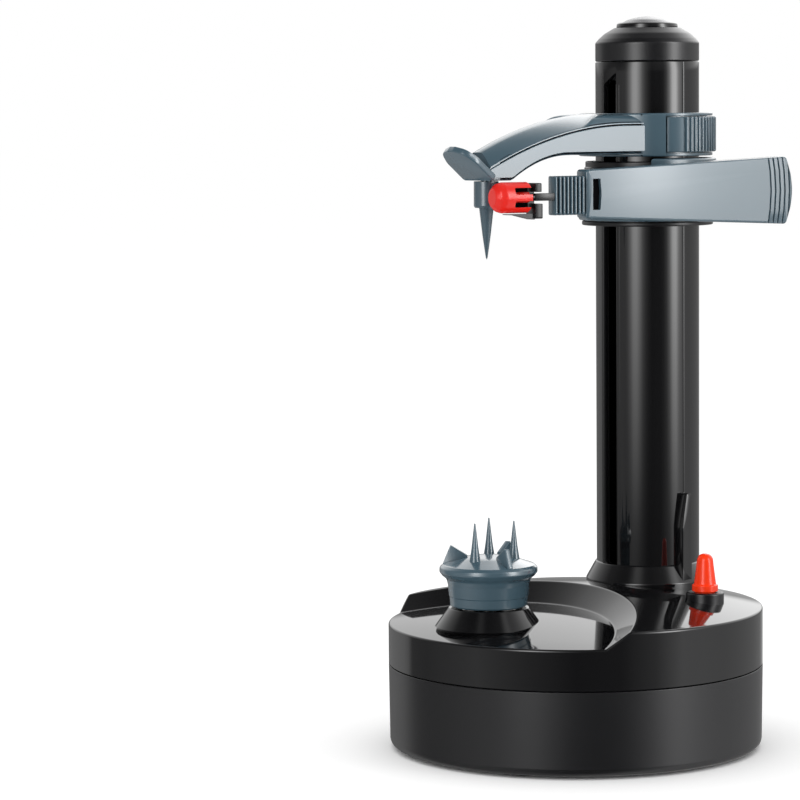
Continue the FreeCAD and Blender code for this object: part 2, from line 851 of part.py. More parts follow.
def upper_shell():
    d = dim
    height = 2 * rim_height
    outside = common(
        "lid_solid",
        cylinder("lid_round", d.base_radius, height, z=seam_height),
        crown("lid_ball", d.base_radius, d.crown_rise, rim_height),
    )
    tray_ball = crown("tray_ball", d.base_radius, d.tray_crown, tray_rim_height)
    tray_round = cylinder("tray_round", d.tray_foot_radius - 0.5, height, d.tray_x, d.tray_y, seam_height)
    tray = cut("tray_room", fuse("tray_open", tray_round, tray_slope()), tray_ball)
    sunk = cut("lid_with_tray", outside, tray)
    low_room = common(
        "low_room",
        cylinder("low_round", inner_radius, height, z=0),
        crown("low_ball", d.base_radius, d.tray_crown, tray_rim_height - d.shell_wall),
    )
    land_round = common(
        "land_round",
        cylinder("land_cylinder", inner_radius, height, z=0),
        crown("land_ball", d.base_radius, d.crown_rise, rim_height - d.shell_wall),
    )
    land_limit = cylinder(
        "land_limit", d.tray_foot_radius + d.tray_slope_run + d.shell_wall, height, d.tray_x, d.tray_y, 0
    )
    hollow = cut("lid_shell", sunk, low_room, cut("land_room", land_round, land_limit))
    boss = cone(
        "boss_cone",
        d.boss_base_radius,
        d.boss_top_radius,
        boss_top_height - boss_base_height,
        d.spindle_x,
        0,
        boss_base_height,
    )
    skirt_drop = 4.0
    skirt = cylinder("boss_skirt", d.boss_base_radius, skirt_drop, d.spindle_x, 0, boss_base_height - skirt_drop)
    hub_height = boss_base_height - bush_bottom + 1
    hub = cylinder("boss_hub", d.bush_radius + 3, hub_height, d.spindle_x, 0, bush_bottom - 1)
    inner_posts = [skirt]
    for i, (x, y) in enumerate(post_spots):
        inner_posts.append(cylinder(f"lid_post_{i}", d.post_radius, height, x, y, seam_height))
    for i, angle in enumerate((0, 120, 240)):
        x, y = polar(d.hanger_ring, as_size(angle))
        inner_posts.append(cylinder(f"hanger_{i}", d.hanger_radius, height, d.column_x + x, y, column_bottom))
    posts = cut("lid_posts", common("lid_posts_inside", fuse("lid_post_set", *inner_posts), outside), tray)
    whole = fuse("lid_whole", hollow, posts, boss, hub)
    tools = [
        cylinder("bush_bore", d.bush_radius, bush_top - bush_bottom + 1, d.spindle_x, 0, bush_bottom - 1),
        cylinder("shaft_way", d.shaft_radius + 0.4, 20, d.spindle_x, 0, bush_bottom),
        cylinder("column_hole", d.column_radius, height, d.column_x, 0, column_bottom),
        cylinder("knife_hole", d.socket_bore, height, d.knife_x, d.knife_y, seam_height + 6),
    ]
    for i, (x, y) in enumerate(post_spots):
        depth = d.screw_length - (seam_height - screw_head_level - d.screw_head_height)
        tools.append(cylinder(f"lid_thread_{i}", d.screw_radius, depth, x, y, seam_height))
    bevel = turned(
        "lid_seam_bevel",
        [
            (d.base_radius - d.seam_bevel, seam_height),
            (d.base_radius + 1, seam_height),
            (d.base_radius + 1, seam_height + d.seam_bevel),
            (d.base_radius, seam_height + d.seam_bevel),
        ],
    )
    node("upper_shell", cut("upper_shell_cut", whole, bevel, *tools))
    bush = turned(
        "spindle_bush_body",
        [
            (d.shaft_radius + d.running_gap, bush_bottom),
            (d.bush_radius, bush_bottom),
            (d.bush_radius, bush_top),
            (d.shaft_radius + d.running_gap, bush_top),
        ],
        d.spindle_x,
    )
    node("spindle_bush", bush)


# Gear deck, axles and motor
def gear_deck():
    d = dim
    width = 2 * deck_radius
    plate = common(
        "deck_solid",
        cylinder("deck_round", deck_radius, d.deck_thickness, z=deck_height),
        box("deck_limit", width, width, d.deck_thickness, -0.5 * width, d.deck_front, deck_height),
    )
    tools = [
        cylinder("spindle_seat", d.journal_radius + d.running_gap, 10, d.spindle_x, 0, deck_height - 1),
        cylinder("screw_seat", d.screw_journal_radius + d.running_gap, 10, screw_x, 0, deck_height - 1),
        cylinder("idler_seat", d.axle_radius, 10, idler_x, 0, deck_height - 1),
        cylinder("compound_seat", d.axle_radius, 10, idler_x, compound_y, deck_height - 1),
        cylinder("nose_seat", d.motor_nose_radius, 10, idler_x, motor_y, deck_height - 1),
    ]
    for i, (x, y) in enumerate(deck_post_spots):
        tools.append(cylinder(f"deck_hole_{i}", d.screw_radius, 10, x, y, deck_height - 1))
    node("gear_deck", cut("gear_deck_cut", plate, *tools))
    length = axle_top - deck_height
    idler_axle = cylinder("idler_axle", d.axle_radius, length, idler_x, 0, deck_height)
    compound_axle = cylinder("compound_axle", d.axle_radius, length, idler_x, compound_y, deck_height)
    node("gear_axles", group("axle_group", idler_axle, compound_axle))
    can = cylinder("motor_can", d.motor_radius, deck_height - motor_bottom, idler_x, motor_y, motor_bottom)
    nose = cylinder("motor_nose", d.motor_nose_radius, d.deck_thickness, idler_x, motor_y, deck_height)
    back = cylinder("motor_back", 4, 1.2, idler_x, motor_y, motor_bottom - 1.2)
    lug_rise = motor_bottom - floor_top + 1
    lug_one = box("motor_lug_one", 2.4, 0.6, lug_rise, idler_x - 7.2, motor_y, floor_top)
    lug_two = box("motor_lug_two", 2.4, 0.6, lug_rise, idler_x + 4.8, motor_y, floor_top)
    way = cylinder("motor_way", d.motor_shaft_radius + d.running_gap, 12, idler_x, motor_y, deck_height - 6)
    motor = fuse("motor_whole", can, nose, back, lug_one, lug_two)
    node("drive_motor", cut("drive_motor_cut", motor, way))


# Spur gears with involute flanks
backlash_share = 0.10
tip_share = 0.88
root_share = 1.22
pressure = math.radians(20)


def involute(angle):
    return math.tan(angle) - angle


def gear_profile(teeth, module, phase):
    pitch = 0.5 * module * teeth
    base = pitch * math.cos(pressure)
    tip = pitch + tip_share * module
    root = pitch - root_share * module
    half = math.pi / (2 * teeth) - 0.5 * backlash_share * module / pitch
    start = max(base, root)
    steps = 5
    flank = [(root, half + involute(pressure) - involute(math.acos(base / start)))]
    for i in range(steps):
        radius = start + (tip - start) * i / (steps - 1)
        flank.append((radius, half + involute(pressure) - involute(math.acos(min(1, base / radius)))))
    if root >= base:
        flank = flank[1:]
    points = []
    for tooth in range(teeth):
        middle = math.radians(phase) + 2 * math.pi * tooth / teeth
        sides = [(r, middle - a) for r, a in flank] + [(r, middle + a) for r, a in reversed(flank)]
        points += [Vector(r * math.cos(a), r * math.sin(a), 0) for r, a in sides]
    return Part.Face(Part.makePolygon(points + points[:1]))


def mesh_phase(direction, phase, teeth, other_teeth):
    # the turn of a second gear whose gap meets the first gear's tooth on the line of centres
    pitch = 360 / teeth
    other_pitch = 360 / other_teeth
    share = ((direction - phase) / pitch) % 1
    return (direction + 180 + (share + 0.5) * other_pitch) % other_pitch


def gear_shape(teeth, module, phase, thickness, bore):
    solid = gear_profile(teeth, module, phase).extrude(Vector(0, 0, thickness))
    return solid.cut(Part.makeCylinder(bore, thickness + 2, Vector(0, 0, -1)))


def gear_node(label, shape, x, y, z):
    item = doc.addObject("Part::Feature", label + "_shape")
    item.Shape = shape
    node(label, at(item, x, y, z))


def tube_shape(outer, inner, height, base):
    outside = Part.makeCylinder(outer, height, Vector(0, 0, base))
    return outside.cut(Part.makeCylinder(inner, height, Vector(0, 0, base)))


def gears():
    d = dim
    module = d.gear_module.value
    fine = d.fine_module.value
    thick = d.gear_thickness.value
    counts = [
        round(size.value)
        for size in (d.holder_teeth, d.idler_teeth, d.screw_teeth, d.small_teeth, d.large_teeth, d.pinion_teeth)
    ]
    holder, idler, screw, small, large, pinion = counts
    idler_phase = mesh_phase(0, 0, holder, idler)
    screw_phase = mesh_phase(0, idler_phase, idler, screw)
    small_phase = mesh_phase(90, idler_phase, idler, small)
    pinion_phase = mesh_phase(90, 0, large, pinion)
    bore = (d.axle_radius + d.running_gap).value
    gear_node("holder_gear", gear_shape(holder, module, 0, thick, d.shaft_radius.value), d.spindle_x, 0, gear_level)
    hub = (gear_level - deck_top - d.end_gap).value
    idler_shape = gear_shape(idler, module, idler_phase, thick, bore)
    idler_shape = idler_shape.fuse(tube_shape(d.hub_radius.value, bore, hub, -hub))
    gear_node("idler_gear", idler_shape, idler_x, 0, gear_level)
    screw_shape = gear_shape(screw, module, screw_phase, thick, d.thread_radius.value)
    gear_node("screw_gear", screw_shape, screw_x, 0, gear_level)
    fine_thick = d.fine_thickness.value
    foot = (fine_level - deck_top - d.end_gap).value
    rise = (gear_level - fine_level).value
    small_top = thick + rise - fine_thick
    compound = gear_shape(large, fine, 0, fine_thick, bore)
    compound = compound.fuse(tube_shape(d.hub_radius.value, bore, foot, -foot))
    upper = gear_shape(small, module, small_phase, small_top, bore)
    upper.translate(Vector(0, 0, fine_thick))
    gear_node("compound_gear", compound.fuse(upper), idler_x, compound_y, fine_level)
    shaft_low = 5.0
    shaft = Part.makeCylinder(d.motor_shaft_radius.value, fine_thick + 1 + shaft_low, Vector(0, 0, -shaft_low))
    teeth_part = gear_shape(pinion, fine, pinion_phase, fine_thick + 1, 0.5 * d.motor_shaft_radius.value)
    gear_node("motor_pinion", teeth_part.fuse(shaft), idler_x, motor_y, fine_level - 0.5)


# Drive shaft and the food holder on top of it
def food_holder():
    d = dim
    journal_bottom = deck_top + d.end_gap - d.journal_length
    shaft = turned(
        "drive_shaft_body",
        [
            (0, journal_bottom),
            (d.journal_radius, journal_bottom),
            (d.journal_radius, deck_top + d.end_gap),
            (d.shaft_radius, deck_top + d.end_gap),
            (d.shaft_radius, shaft_top),
            (0, shaft_top),
        ],
        d.spindle_x,
    )
    node("drive_shaft", shaft)
    bead = holder_bead_height
    cup = turned(
        "holder_cup",
        [
            (d.shaft_radius, holder_bottom),
            (d.holder_foot_radius - 0.5, holder_bottom),
            (d.holder_foot_radius, holder_bottom + 0.5),
            (d.holder_foot_radius + 0.3, holder_bottom + 4),
            (d.holder_neck_radius - 0.1, bead - 4.5),
            (d.holder_neck_radius + 0.5, bead - 2.6),
            (d.holder_bead_radius - 0.6, bead - 1.4),
            (d.holder_bead_radius, bead),
            (d.holder_bead_radius - 0.6, bead + 1.3),
            (d.holder_bead_radius - 1.8, bead + 1.9),
            (d.holder_bead_radius - 7.0, holder_top - 1.1),
            (d.holder_bead_radius - 12.5, holder_top - 0.2),
            (0, holder_top),
            (0, shaft_top),
            (d.shaft_radius, shaft_top),
        ],
        d.spindle_x,
    )
    parts = [cup]
    root = holder_bead_height + 1
    for i, angle in enumerate((d.prong_angle_one, d.prong_angle_two, d.prong_angle_three)):
        x, y = polar(d.prong_ring, angle)
        rise = prong_tip_height - root
        parts.append(cone(f"prong_{i}", d.prong_radius, 0.15, rise, d.spindle_x + x, y, root))
    for i in range(3):
        angle = d.fin_first_angle + 120 * i
        fin = padded(
            f"fin_{i}",
            [
                (d.fin_inner_radius, root),
                (d.fin_outer_radius, root),
                (d.fin_peak_radius, fin_peak_height),
                (d.fin_inner_radius, holder_top - 0.3),
            ],
            d.fin_thickness,
            "XZ_Plane",
        )
        half = 0.5 * d.fin_thickness
        turn(fin, Vector(0, 0, 1), angle)
        parts.append(at(fin, d.spindle_x - half * sine(angle), half * cosine(angle), 0))
    node("food_holder", fuse("food_holder_fuse", *parts))


# Column: two half shells on a base plate, a collar at the foot, a cap and a bearing plate
def column():
    d = dim
    height = column_top - column_bottom
    side = 2 * d.column_radius
    halves = {}
    for name, start in (("front", d.column_x - side), ("rear", d.column_x)):
        tube = cut(
            f"{name}_tube",
            cylinder(f"{name}_outside", d.column_radius, height, d.column_x, 0, column_bottom),
            cylinder(f"{name}_inside", column_bore, height, d.column_x, 0, column_bottom),
        )
        half = box(f"{name}_side", side, 2 * side, height, start, -side, column_bottom)
        halves[name] = common(f"{name}_half", tube, half)
    slot = box(
        "slot",
        d.column_radius,
        d.slot_width,
        slot_top - slot_bottom,
        d.column_x - side,
        -0.5 * d.slot_width,
        slot_bottom,
    )
    bind(slot, "Length", side)
    groove_z = collar_top
    groove_height = column_top - groove_z
    grooves = []
    for i, y in enumerate((-d.column_radius, d.column_radius - d.seam_groove)):
        grooves.append(
            box(f"seam_groove_{i}", d.seam_groove, d.seam_groove, groove_height, d.column_x - d.seam_groove, y, groove_z)
        )
    node("column_front_shell", cut("column_front_cut", halves["front"], slot, *grooves))
    node("column_rear_shell", halves["rear"])
    base_z = column_bottom - d.column_base_thickness
    plate = cylinder("column_base_plate", d.column_base_radius, d.column_base_thickness, d.column_x, 0, base_z)
    bearing = cylinder("column_bearing", d.thread_radius + d.running_gap, 10, screw_x, 0, base_z - 1)
    node("column_base", cut("column_base_cut", plate, bearing))
    collar = turned(
        "collar_body",
        [
            (d.column_radius, column_bottom + 4),
            (d.collar_radius - 1.2, column_bottom + 4),
            (d.collar_radius, collar_edge_height),
            (d.column_radius + 0.4, collar_top),
            (d.column_radius, collar_top),
        ],
        d.column_x,
    )
    land = crown("collar_land", d.base_radius, d.crown_rise, rim_height)
    node("column_collar", cut("column_collar_cut", collar, land))
    cam = padded(
        "cam_block",
        [
            (d.cam_left, cam_bottom),
            (d.cam_right, cam_bottom),
            (d.cam_right, cam_top - 0.8),
            (d.cam_right - 0.8, cam_top),
            (d.cam_left + d.cam_shift, cam_top),
            (d.cam_left + 0.6 * d.cam_shift, cam_top - 4.5),
            (d.cam_left + 0.2 * d.cam_shift, cam_top - 9.5),
            (d.cam_left, cam_bend),
        ],
        d.cam_rise + 3,
        "XZ_Plane",
    )
    at(cam, d.column_x, 3 - d.column_radius, 0)
    core = cylinder("cam_core", d.column_radius, 2 * cam_top, d.column_x, 0, 0)
    flare = cut("cam_flare", cone_room(), core)
    node("swing_cam", cut("swing_cam_cut", cam, core, flare))
    top_plate = cylinder("top_plate_round", column_bore, d.plate_thickness, d.column_x, 0, plate_height)
    tip_hole = cylinder("top_bearing", d.screw_tip_radius + d.running_gap, 10, screw_x, 0, plate_height - 1)
    node("bearing_plate", cut("bearing_plate_cut", top_plate, tip_hole))
    half = 0.5 * d.switch_width
    switch_z = plate_height + d.plate_thickness
    case = box("switch_case", d.switch_width, d.switch_width, d.switch_height, d.column_x - half, -half, switch_z)
    plunger = cylinder(
        "switch_plunger", d.plunger_radius, d.plunger_height, d.column_x, 0, switch_z + d.switch_height
    )
    node("push_switch", fuse("push_switch_fuse", case, plunger))


def cone_room():
    # the room the foot collar takes up, so the cam sits on the flare
    d = dim
    drop = collar_top - collar_edge_height
    low = cylinder("flare_low", d.collar_radius, collar_edge_height, d.column_x, 0, 0)
    lean = cone("flare_lean", d.collar_radius, d.column_radius + 0.4, drop, d.column_x, 0, collar_edge_height)
    return fuse("flare_room", low, lean)


# Cap and the power button in it
def column_cap():
    d = dim
    hole = d.button_radius + d.button_gap
    inner = d.column_radius - d.cap_wall
    crown_run = d.column_radius - hole
    crown_height_run = cap_rim_height - cap_shoulder
    cap = turned(
        "column_cap_body",
        [
            (inner, column_top),
            (d.column_radius, column_top),
            (d.column_radius, cap_shoulder),
            (hole + 0.88 * crown_run, cap_shoulder + 0.22 * crown_height_run),
            (hole + 0.62 * crown_run, cap_shoulder + 0.62 * crown_height_run),
            (hole + 0.30 * crown_run, cap_shoulder + 0.90 * crown_height_run),
            (hole, cap_rim_height),
            (hole, cap_rim_height - d.cap_wall),
            (hole + 0.55 * crown_run, cap_shoulder + 0.62 * crown_height_run - d.cap_wall),
            (inner, cap_shoulder - d.cap_wall),
        ],
        d.column_x,
    )
    node("column_cap", cap)
    skirt_bottom = button_edge_height - d.button_skirt
    tall = d.button_skirt + 2 * d.button_rise
    solid = common(
        "button_solid",
        cylinder("button_round", d.button_radius, tall, d.column_x, 0, skirt_bottom),
        crown("button_ball", d.button_radius, d.button_rise, button_edge_height, d.column_x),
    )
    inside_radius = d.button_radius - d.button_wall
    room = cylinder("button_room", inside_radius, d.button_skirt, d.column_x, 0, skirt_bottom)
    stem_bottom = switch_top() + d.button_travel + 0.4
    stem_length = button_edge_height + 0.5 * d.button_rise - stem_bottom
    stem = cylinder("button_stem", d.stem_radius, stem_length, d.column_x, 0, stem_bottom)
    node("power_button", fuse("power_button_fuse", cut("button_shell", solid, room), stem))


def switch_top():
    return plate_height + dim.plate_thickness + dim.switch_height + dim.plunger_height


# Lead screw inside the column
def lead_screw():
    d = dim
    low = deck_top + d.end_gap
    screw = turned(
        "lead_screw_body",
        [
            (0, low - d.journal_length),
            (d.screw_journal_radius, low - d.journal_length),
            (d.screw_journal_radius, low),
            (d.thread_radius, low),
            (d.thread_radius, plate_height - d.end_gap),
            (d.screw_tip_radius, plate_height - d.end_gap),
            (d.screw_tip_radius, plate_height + d.plate_thickness - 0.2),
            (0, plate_height + d.plate_thickness - 0.2),
        ],
        screw_x,
    )
    node("lead_screw", screw)


# Clamp arm: ring round the column, curved arm and the finger tab at its tip
def arm_section(x, flat_bottom):
    d = dim
    span = d.arm_root_x.value - d.arm_tip_x.value
    widening = (d.arm_root_half_width.value - d.arm_tip_half_width.value) / span
    half = d.arm_tip_half_width.value + widening * (x - d.arm_tip_x.value)
    ridge_half = d.arm_ridge_half_width.value
    bottom = arm_belly.value
    if x < d.arm_belly_x.value:
        bottom -= d.arm_belly_curve.value * (d.arm_belly_x.value - x) ** 2
    if flat_bottom:
        bottom = arm_tip_bottom.value
    edge = arm_edge.value - d.arm_edge_curve.value * max(0, d.arm_edge_x.value - x) ** 2
    ridge = arm_ridge.value - d.arm_ridge_curve.value * max(0, d.arm_ridge_x.value - x) ** 2
    corners = [
        Vector(x, -half, bottom),
        Vector(x, half, bottom),
        Vector(x, half, edge),
        Vector(x, ridge_half, ridge),
        Vector(x, -ridge_half, ridge),
        Vector(x, -half, edge),
    ]
    return Part.makePolygon(corners + corners[:1])


def arm_loft(name, start, end, count, flat_bottom):
    stations = [start.value + (end.value - start.value) * i / (count - 1) for i in range(count)]
    item = doc.addObject("Part::Feature", name)
    item.Shape = Part.makeLoft([arm_section(x, flat_bottom) for x in stations], True, False)
    return item


def finger_tab():
    d = dim
    half = 0.5 * d.tab_width
    plate = padded(
        "finger_tab",
        [
            (-half, 0),
            (half, 0),
            (half, 0.68 * d.tab_length),
            (0.76 * half, 0.88 * d.tab_length),
            (0.34 * half, d.tab_length),
            (-0.34 * half, d.tab_length),
            (-0.76 * half, 0.88 * d.tab_length),
            (-half, 0.68 * d.tab_length),
        ],
        d.tab_thickness,
    )
    lean = Rotation(Vector(0, 1, 0), d.tab_slope.value).multiply(Rotation(Vector(0, 0, 1), 90))
    plate.Placement = Placement(Vector(0, 0, 0), lean)
    return at(plate, d.arm_tip_x, 0, arm_tip_bottom)


def clamp_arm():
    d = dim
    height = clamp_top - clamp_bottom
    sleeve_radius = ring_bore + d.sleeve_wall
    sleeve = cylinder("clamp_sleeve", sleeve_radius, height, d.column_x, 0, clamp_bottom)
    low = cylinder("clamp_low_flange", d.flange_radius, d.flange_thickness, d.column_x, 0, clamp_bottom)
    high_z = clamp_top - d.flange_thickness
    high = cylinder("clamp_high_flange", d.flange_radius, d.flange_thickness, d.column_x, 0, high_z)
    start = 180 - 0.5 * d.clamp_front_angle
    front = sector("clamp_front", d.clamp_radius, height, d.clamp_front_angle, start, d.column_x, 0, clamp_bottom)
    tip = arm_loft("arm_tip", d.arm_tip_x, d.arm_flat_end_x, 3, True)
    span = arm_loft("arm_span", d.arm_flat_end_x, d.arm_root_x, 10, False)
    body = fuse("clamp_whole", sleeve, low, high, front, tip, span, finger_tab())
    bore = cylinder("clamp_bore", ring_bore, 2 * height, d.column_x, 0, clamp_bottom - 0.5 * height)
    stem_room = spike_stem_top + d.end_gap - arm_tip_bottom + 1
    stem_way = cylinder(
        "stem_way", d.spike_stem_radius + d.running_gap, stem_room, d.spindle_x, 0, arm_tip_bottom - 1
    )
    key_width = d.slot_width - 2 * d.key_gap
    key_x = d.column_x - ring_bore - 1
    key = box("clamp_key", d.key_depth + 1, key_width, height - 4, key_x, -0.5 * key_width, clamp_bottom + 2)
    node("clamp_arm", fuse("clamp_arm_fuse", cut("clamp_bored", body, bore, stem_way), key))


def ribbed_shell():
    # the C-shaped press pad: smooth ends, fine upright ribs round the back
    d = dim
    low = (clamp_bottom + d.flange_thickness + d.end_gap).value
    high = (clamp_top - d.flange_thickness - d.end_gap).value
    inner = (ring_bore + d.sleeve_wall + d.release_inner_gap).value
    smooth = d.release_smooth_radius.value
    ribbed = d.clamp_radius.value
    gap = math.degrees(d.release_end_gap.value / ribbed)
    end = 180 - 0.5 * d.clamp_front_angle.value - gap
    rib_end = d.release_rib_angle.value
    count = int(2 * rib_end / d.release_rib_pitch.value)
    pitch = 2 * rib_end / count

    def spot(radius, angle):
        return Vector(radius * math.cos(math.radians(angle)), radius * math.sin(math.radians(angle)), 0)

    def arc(radius, start, stop):
        return Part.Arc(spot(radius, start), spot(radius, 0.5 * (start + stop)), spot(radius, stop)).toShape()

    edges = [arc(smooth, -end, -rib_end)]
    last = spot(smooth, -rib_end)
    for i in range(count):
        start = -rib_end + i * pitch
        for radius, angle in ((ribbed, start + 0.12 * pitch), (ribbed, start + 0.55 * pitch),
                              (smooth, start + 0.67 * pitch), (smooth, start + pitch)):
            edges.append(Part.makeLine(last, spot(radius, angle)))
            last = spot(radius, angle)
    edges.append(arc(smooth, rib_end, end))
    edges.append(Part.makeLine(spot(smooth, end), spot(inner, end)))
    edges.append(arc(inner, end, -end))
    edges.append(Part.makeLine(spot(inner, -end), spot(smooth, -end)))
    face = Part.Face(Part.Wire(Part.__sortEdges__(edges)))
    item = doc.addObject("Part::Feature", "ribbed_shell")
    item.Shape = face.extrude(Vector(0, 0, high - low))
    node("clamp_release", at(item, d.column_x, 0, clamp_bottom + d.flange_thickness + d.end_gap))


def top_spike():
    d = dim
    spike_collar_top = arm_tip_bottom - d.end_gap
    spike = turned(
        "top_spike_body",
        [
            (0, spike_tip),
            (d.spike_cone_radius, spike_shoulder),
            (d.spike_collar_radius, spike_shoulder),
            (d.spike_collar_radius, spike_collar_top),
            (d.spike_stem_radius, spike_collar_top),
            (d.spike_stem_radius, spike_stem_top),
            (0, spike_stem_top),
        ],
        d.spindle_x,
    )
    node("top_spike", spike)


# Carriage on the column with the half nut that rides on the lead screw
def carriage():
    d = dim
    height = carriage_top - carriage_bottom
    ring = cylinder("carriage_outside", d.carriage_radius, height, d.column_x, 0, carriage_bottom)
    lip = cylinder("carriage_lip_round", d.carriage_lip_radius, d.carriage_lip, d.column_x, 0, carriage_bottom)
    bore = cylinder("carriage_bore", ring_bore, 2 * height, d.column_x, 0, carriage_bottom - 0.5 * height)
    node("carriage_ring", cut("carriage_ring_cut", fuse("carriage_whole", ring, lip), bore))
    nut_height = nut_top - nut_bottom
    nut = cylinder("nut_round", d.nut_radius, nut_height, screw_x, 0, nut_bottom)
    key_width = d.slot_width - 2 * d.key_gap
    key_length = screw_x - d.thread_radius - 1 - (d.column_x - ring_bore)
    key_x = d.column_x - ring_bore
    key = box("nut_key", key_length, key_width, nut_height, key_x, -0.5 * key_width, nut_bottom)
    limit = cylinder("nut_limit", ring_bore, nut_height, d.column_x, 0, nut_bottom)
    way = cylinder("nut_way", d.thread_radius + d.end_gap, nut_height, screw_x, 0, nut_bottom)
    open_side = box("nut_open_side", 20, 20, nut_height, screw_x + 1, -10, nut_bottom)
    solid = common("nut_solid", fuse("nut_whole", nut, key), limit)
    node("half_nut", cut("half_nut_cut", solid, way, open_side))


# Swinging lever and blade cartridge, drawn along the lever and then turned into place.
# Along the lever x runs from the food axis, y runs back towards the column, z is height.
axis_spacing = dim.column_x - dim.spindle_x
lever_turn = arc_sine((dim.lever_offset - dim.cutter_offset) / axis_spacing)
lever_start_x = dim.spindle_x - dim.cutter_offset * sine(lever_turn)
lever_start_y = -dim.cutter_offset * cosine(lever_turn)
column_along = axis_spacing * cosine(lever_turn)


def on_lever(label, item):
    turn(item, Vector(0, 0, 1), -lever_turn)
    node(label, at(item, lever_start_x, lever_start_y, 0))


def cutter_lever():
    d = dim
    middle = 0.5 * (lever_right_bottom + lever_right_top)
    rise = 0.5 * (lever_right_top - lever_right_bottom)
    plate = padded(
        "lever_plate",
        [
            (d.lever_left, lever_left_bottom),
            (d.lever_right, lever_right_bottom),
            (d.lever_right + 0.7 * d.lever_nose, middle - 0.53 * rise),
            (d.lever_right + d.lever_nose, middle),
            (d.lever_right + 0.7 * d.lever_nose, middle + 0.53 * rise),
            (d.lever_right, lever_right_top),
            (d.lever_left, lever_left_top),
        ],
        d.lever_thickness,
        "XZ_Plane",
        True,
    )
    ring_height = lever_ring_top - lever_ring_bottom
    ring = cylinder(
        "lever_ring", d.lever_ring_radius, ring_height, column_along, d.lever_offset, lever_ring_bottom
    )
    notch = box(
        "lever_ring_notch",
        d.lever_ring_radius,
        2 * d.lever_ring_radius,
        lever_ring_top,
        column_along - d.lever_ring_radius - 1,
        d.lever_thickness,
        lever_ring_low_top,
    )
    whole = fuse("lever_whole", plate, cut("lever_ring_stepped", ring, notch))
    bore_radius = d.carriage_radius + d.ring_gap
    tools = [
        cylinder("lever_bore", bore_radius, 2 * ring_height, column_along, d.lever_offset, lever_ring_bottom - 5)
    ]
    gap = d.end_gap
    tools.append(
        box(
            "tongue_room",
            d.tongue_length + 2,
            d.tongue_depth + 2 * gap,
            d.tongue_height + 2 * gap,
            d.lever_left - 1,
            d.tongue_front - gap,
            tongue_bottom - gap,
        )
    )
    tools.append(
        box("lever_window", d.window_width, d.tongue_front + 1, d.tongue_height, d.window_left, -1, tongue_bottom)
    )
    for i in range(5):
        x = d.grip_groove_left + d.grip_groove_pitch * i
        tall = lever_right_top - lever_right_bottom
        depth = d.grip_groove_depth
        tools.append(box(f"lever_groove_{i}", d.grip_groove_width, depth, tall, x, 0, lever_right_bottom))
    on_lever("cutter_lever", cut("cutter_lever_cut", whole, *tools))


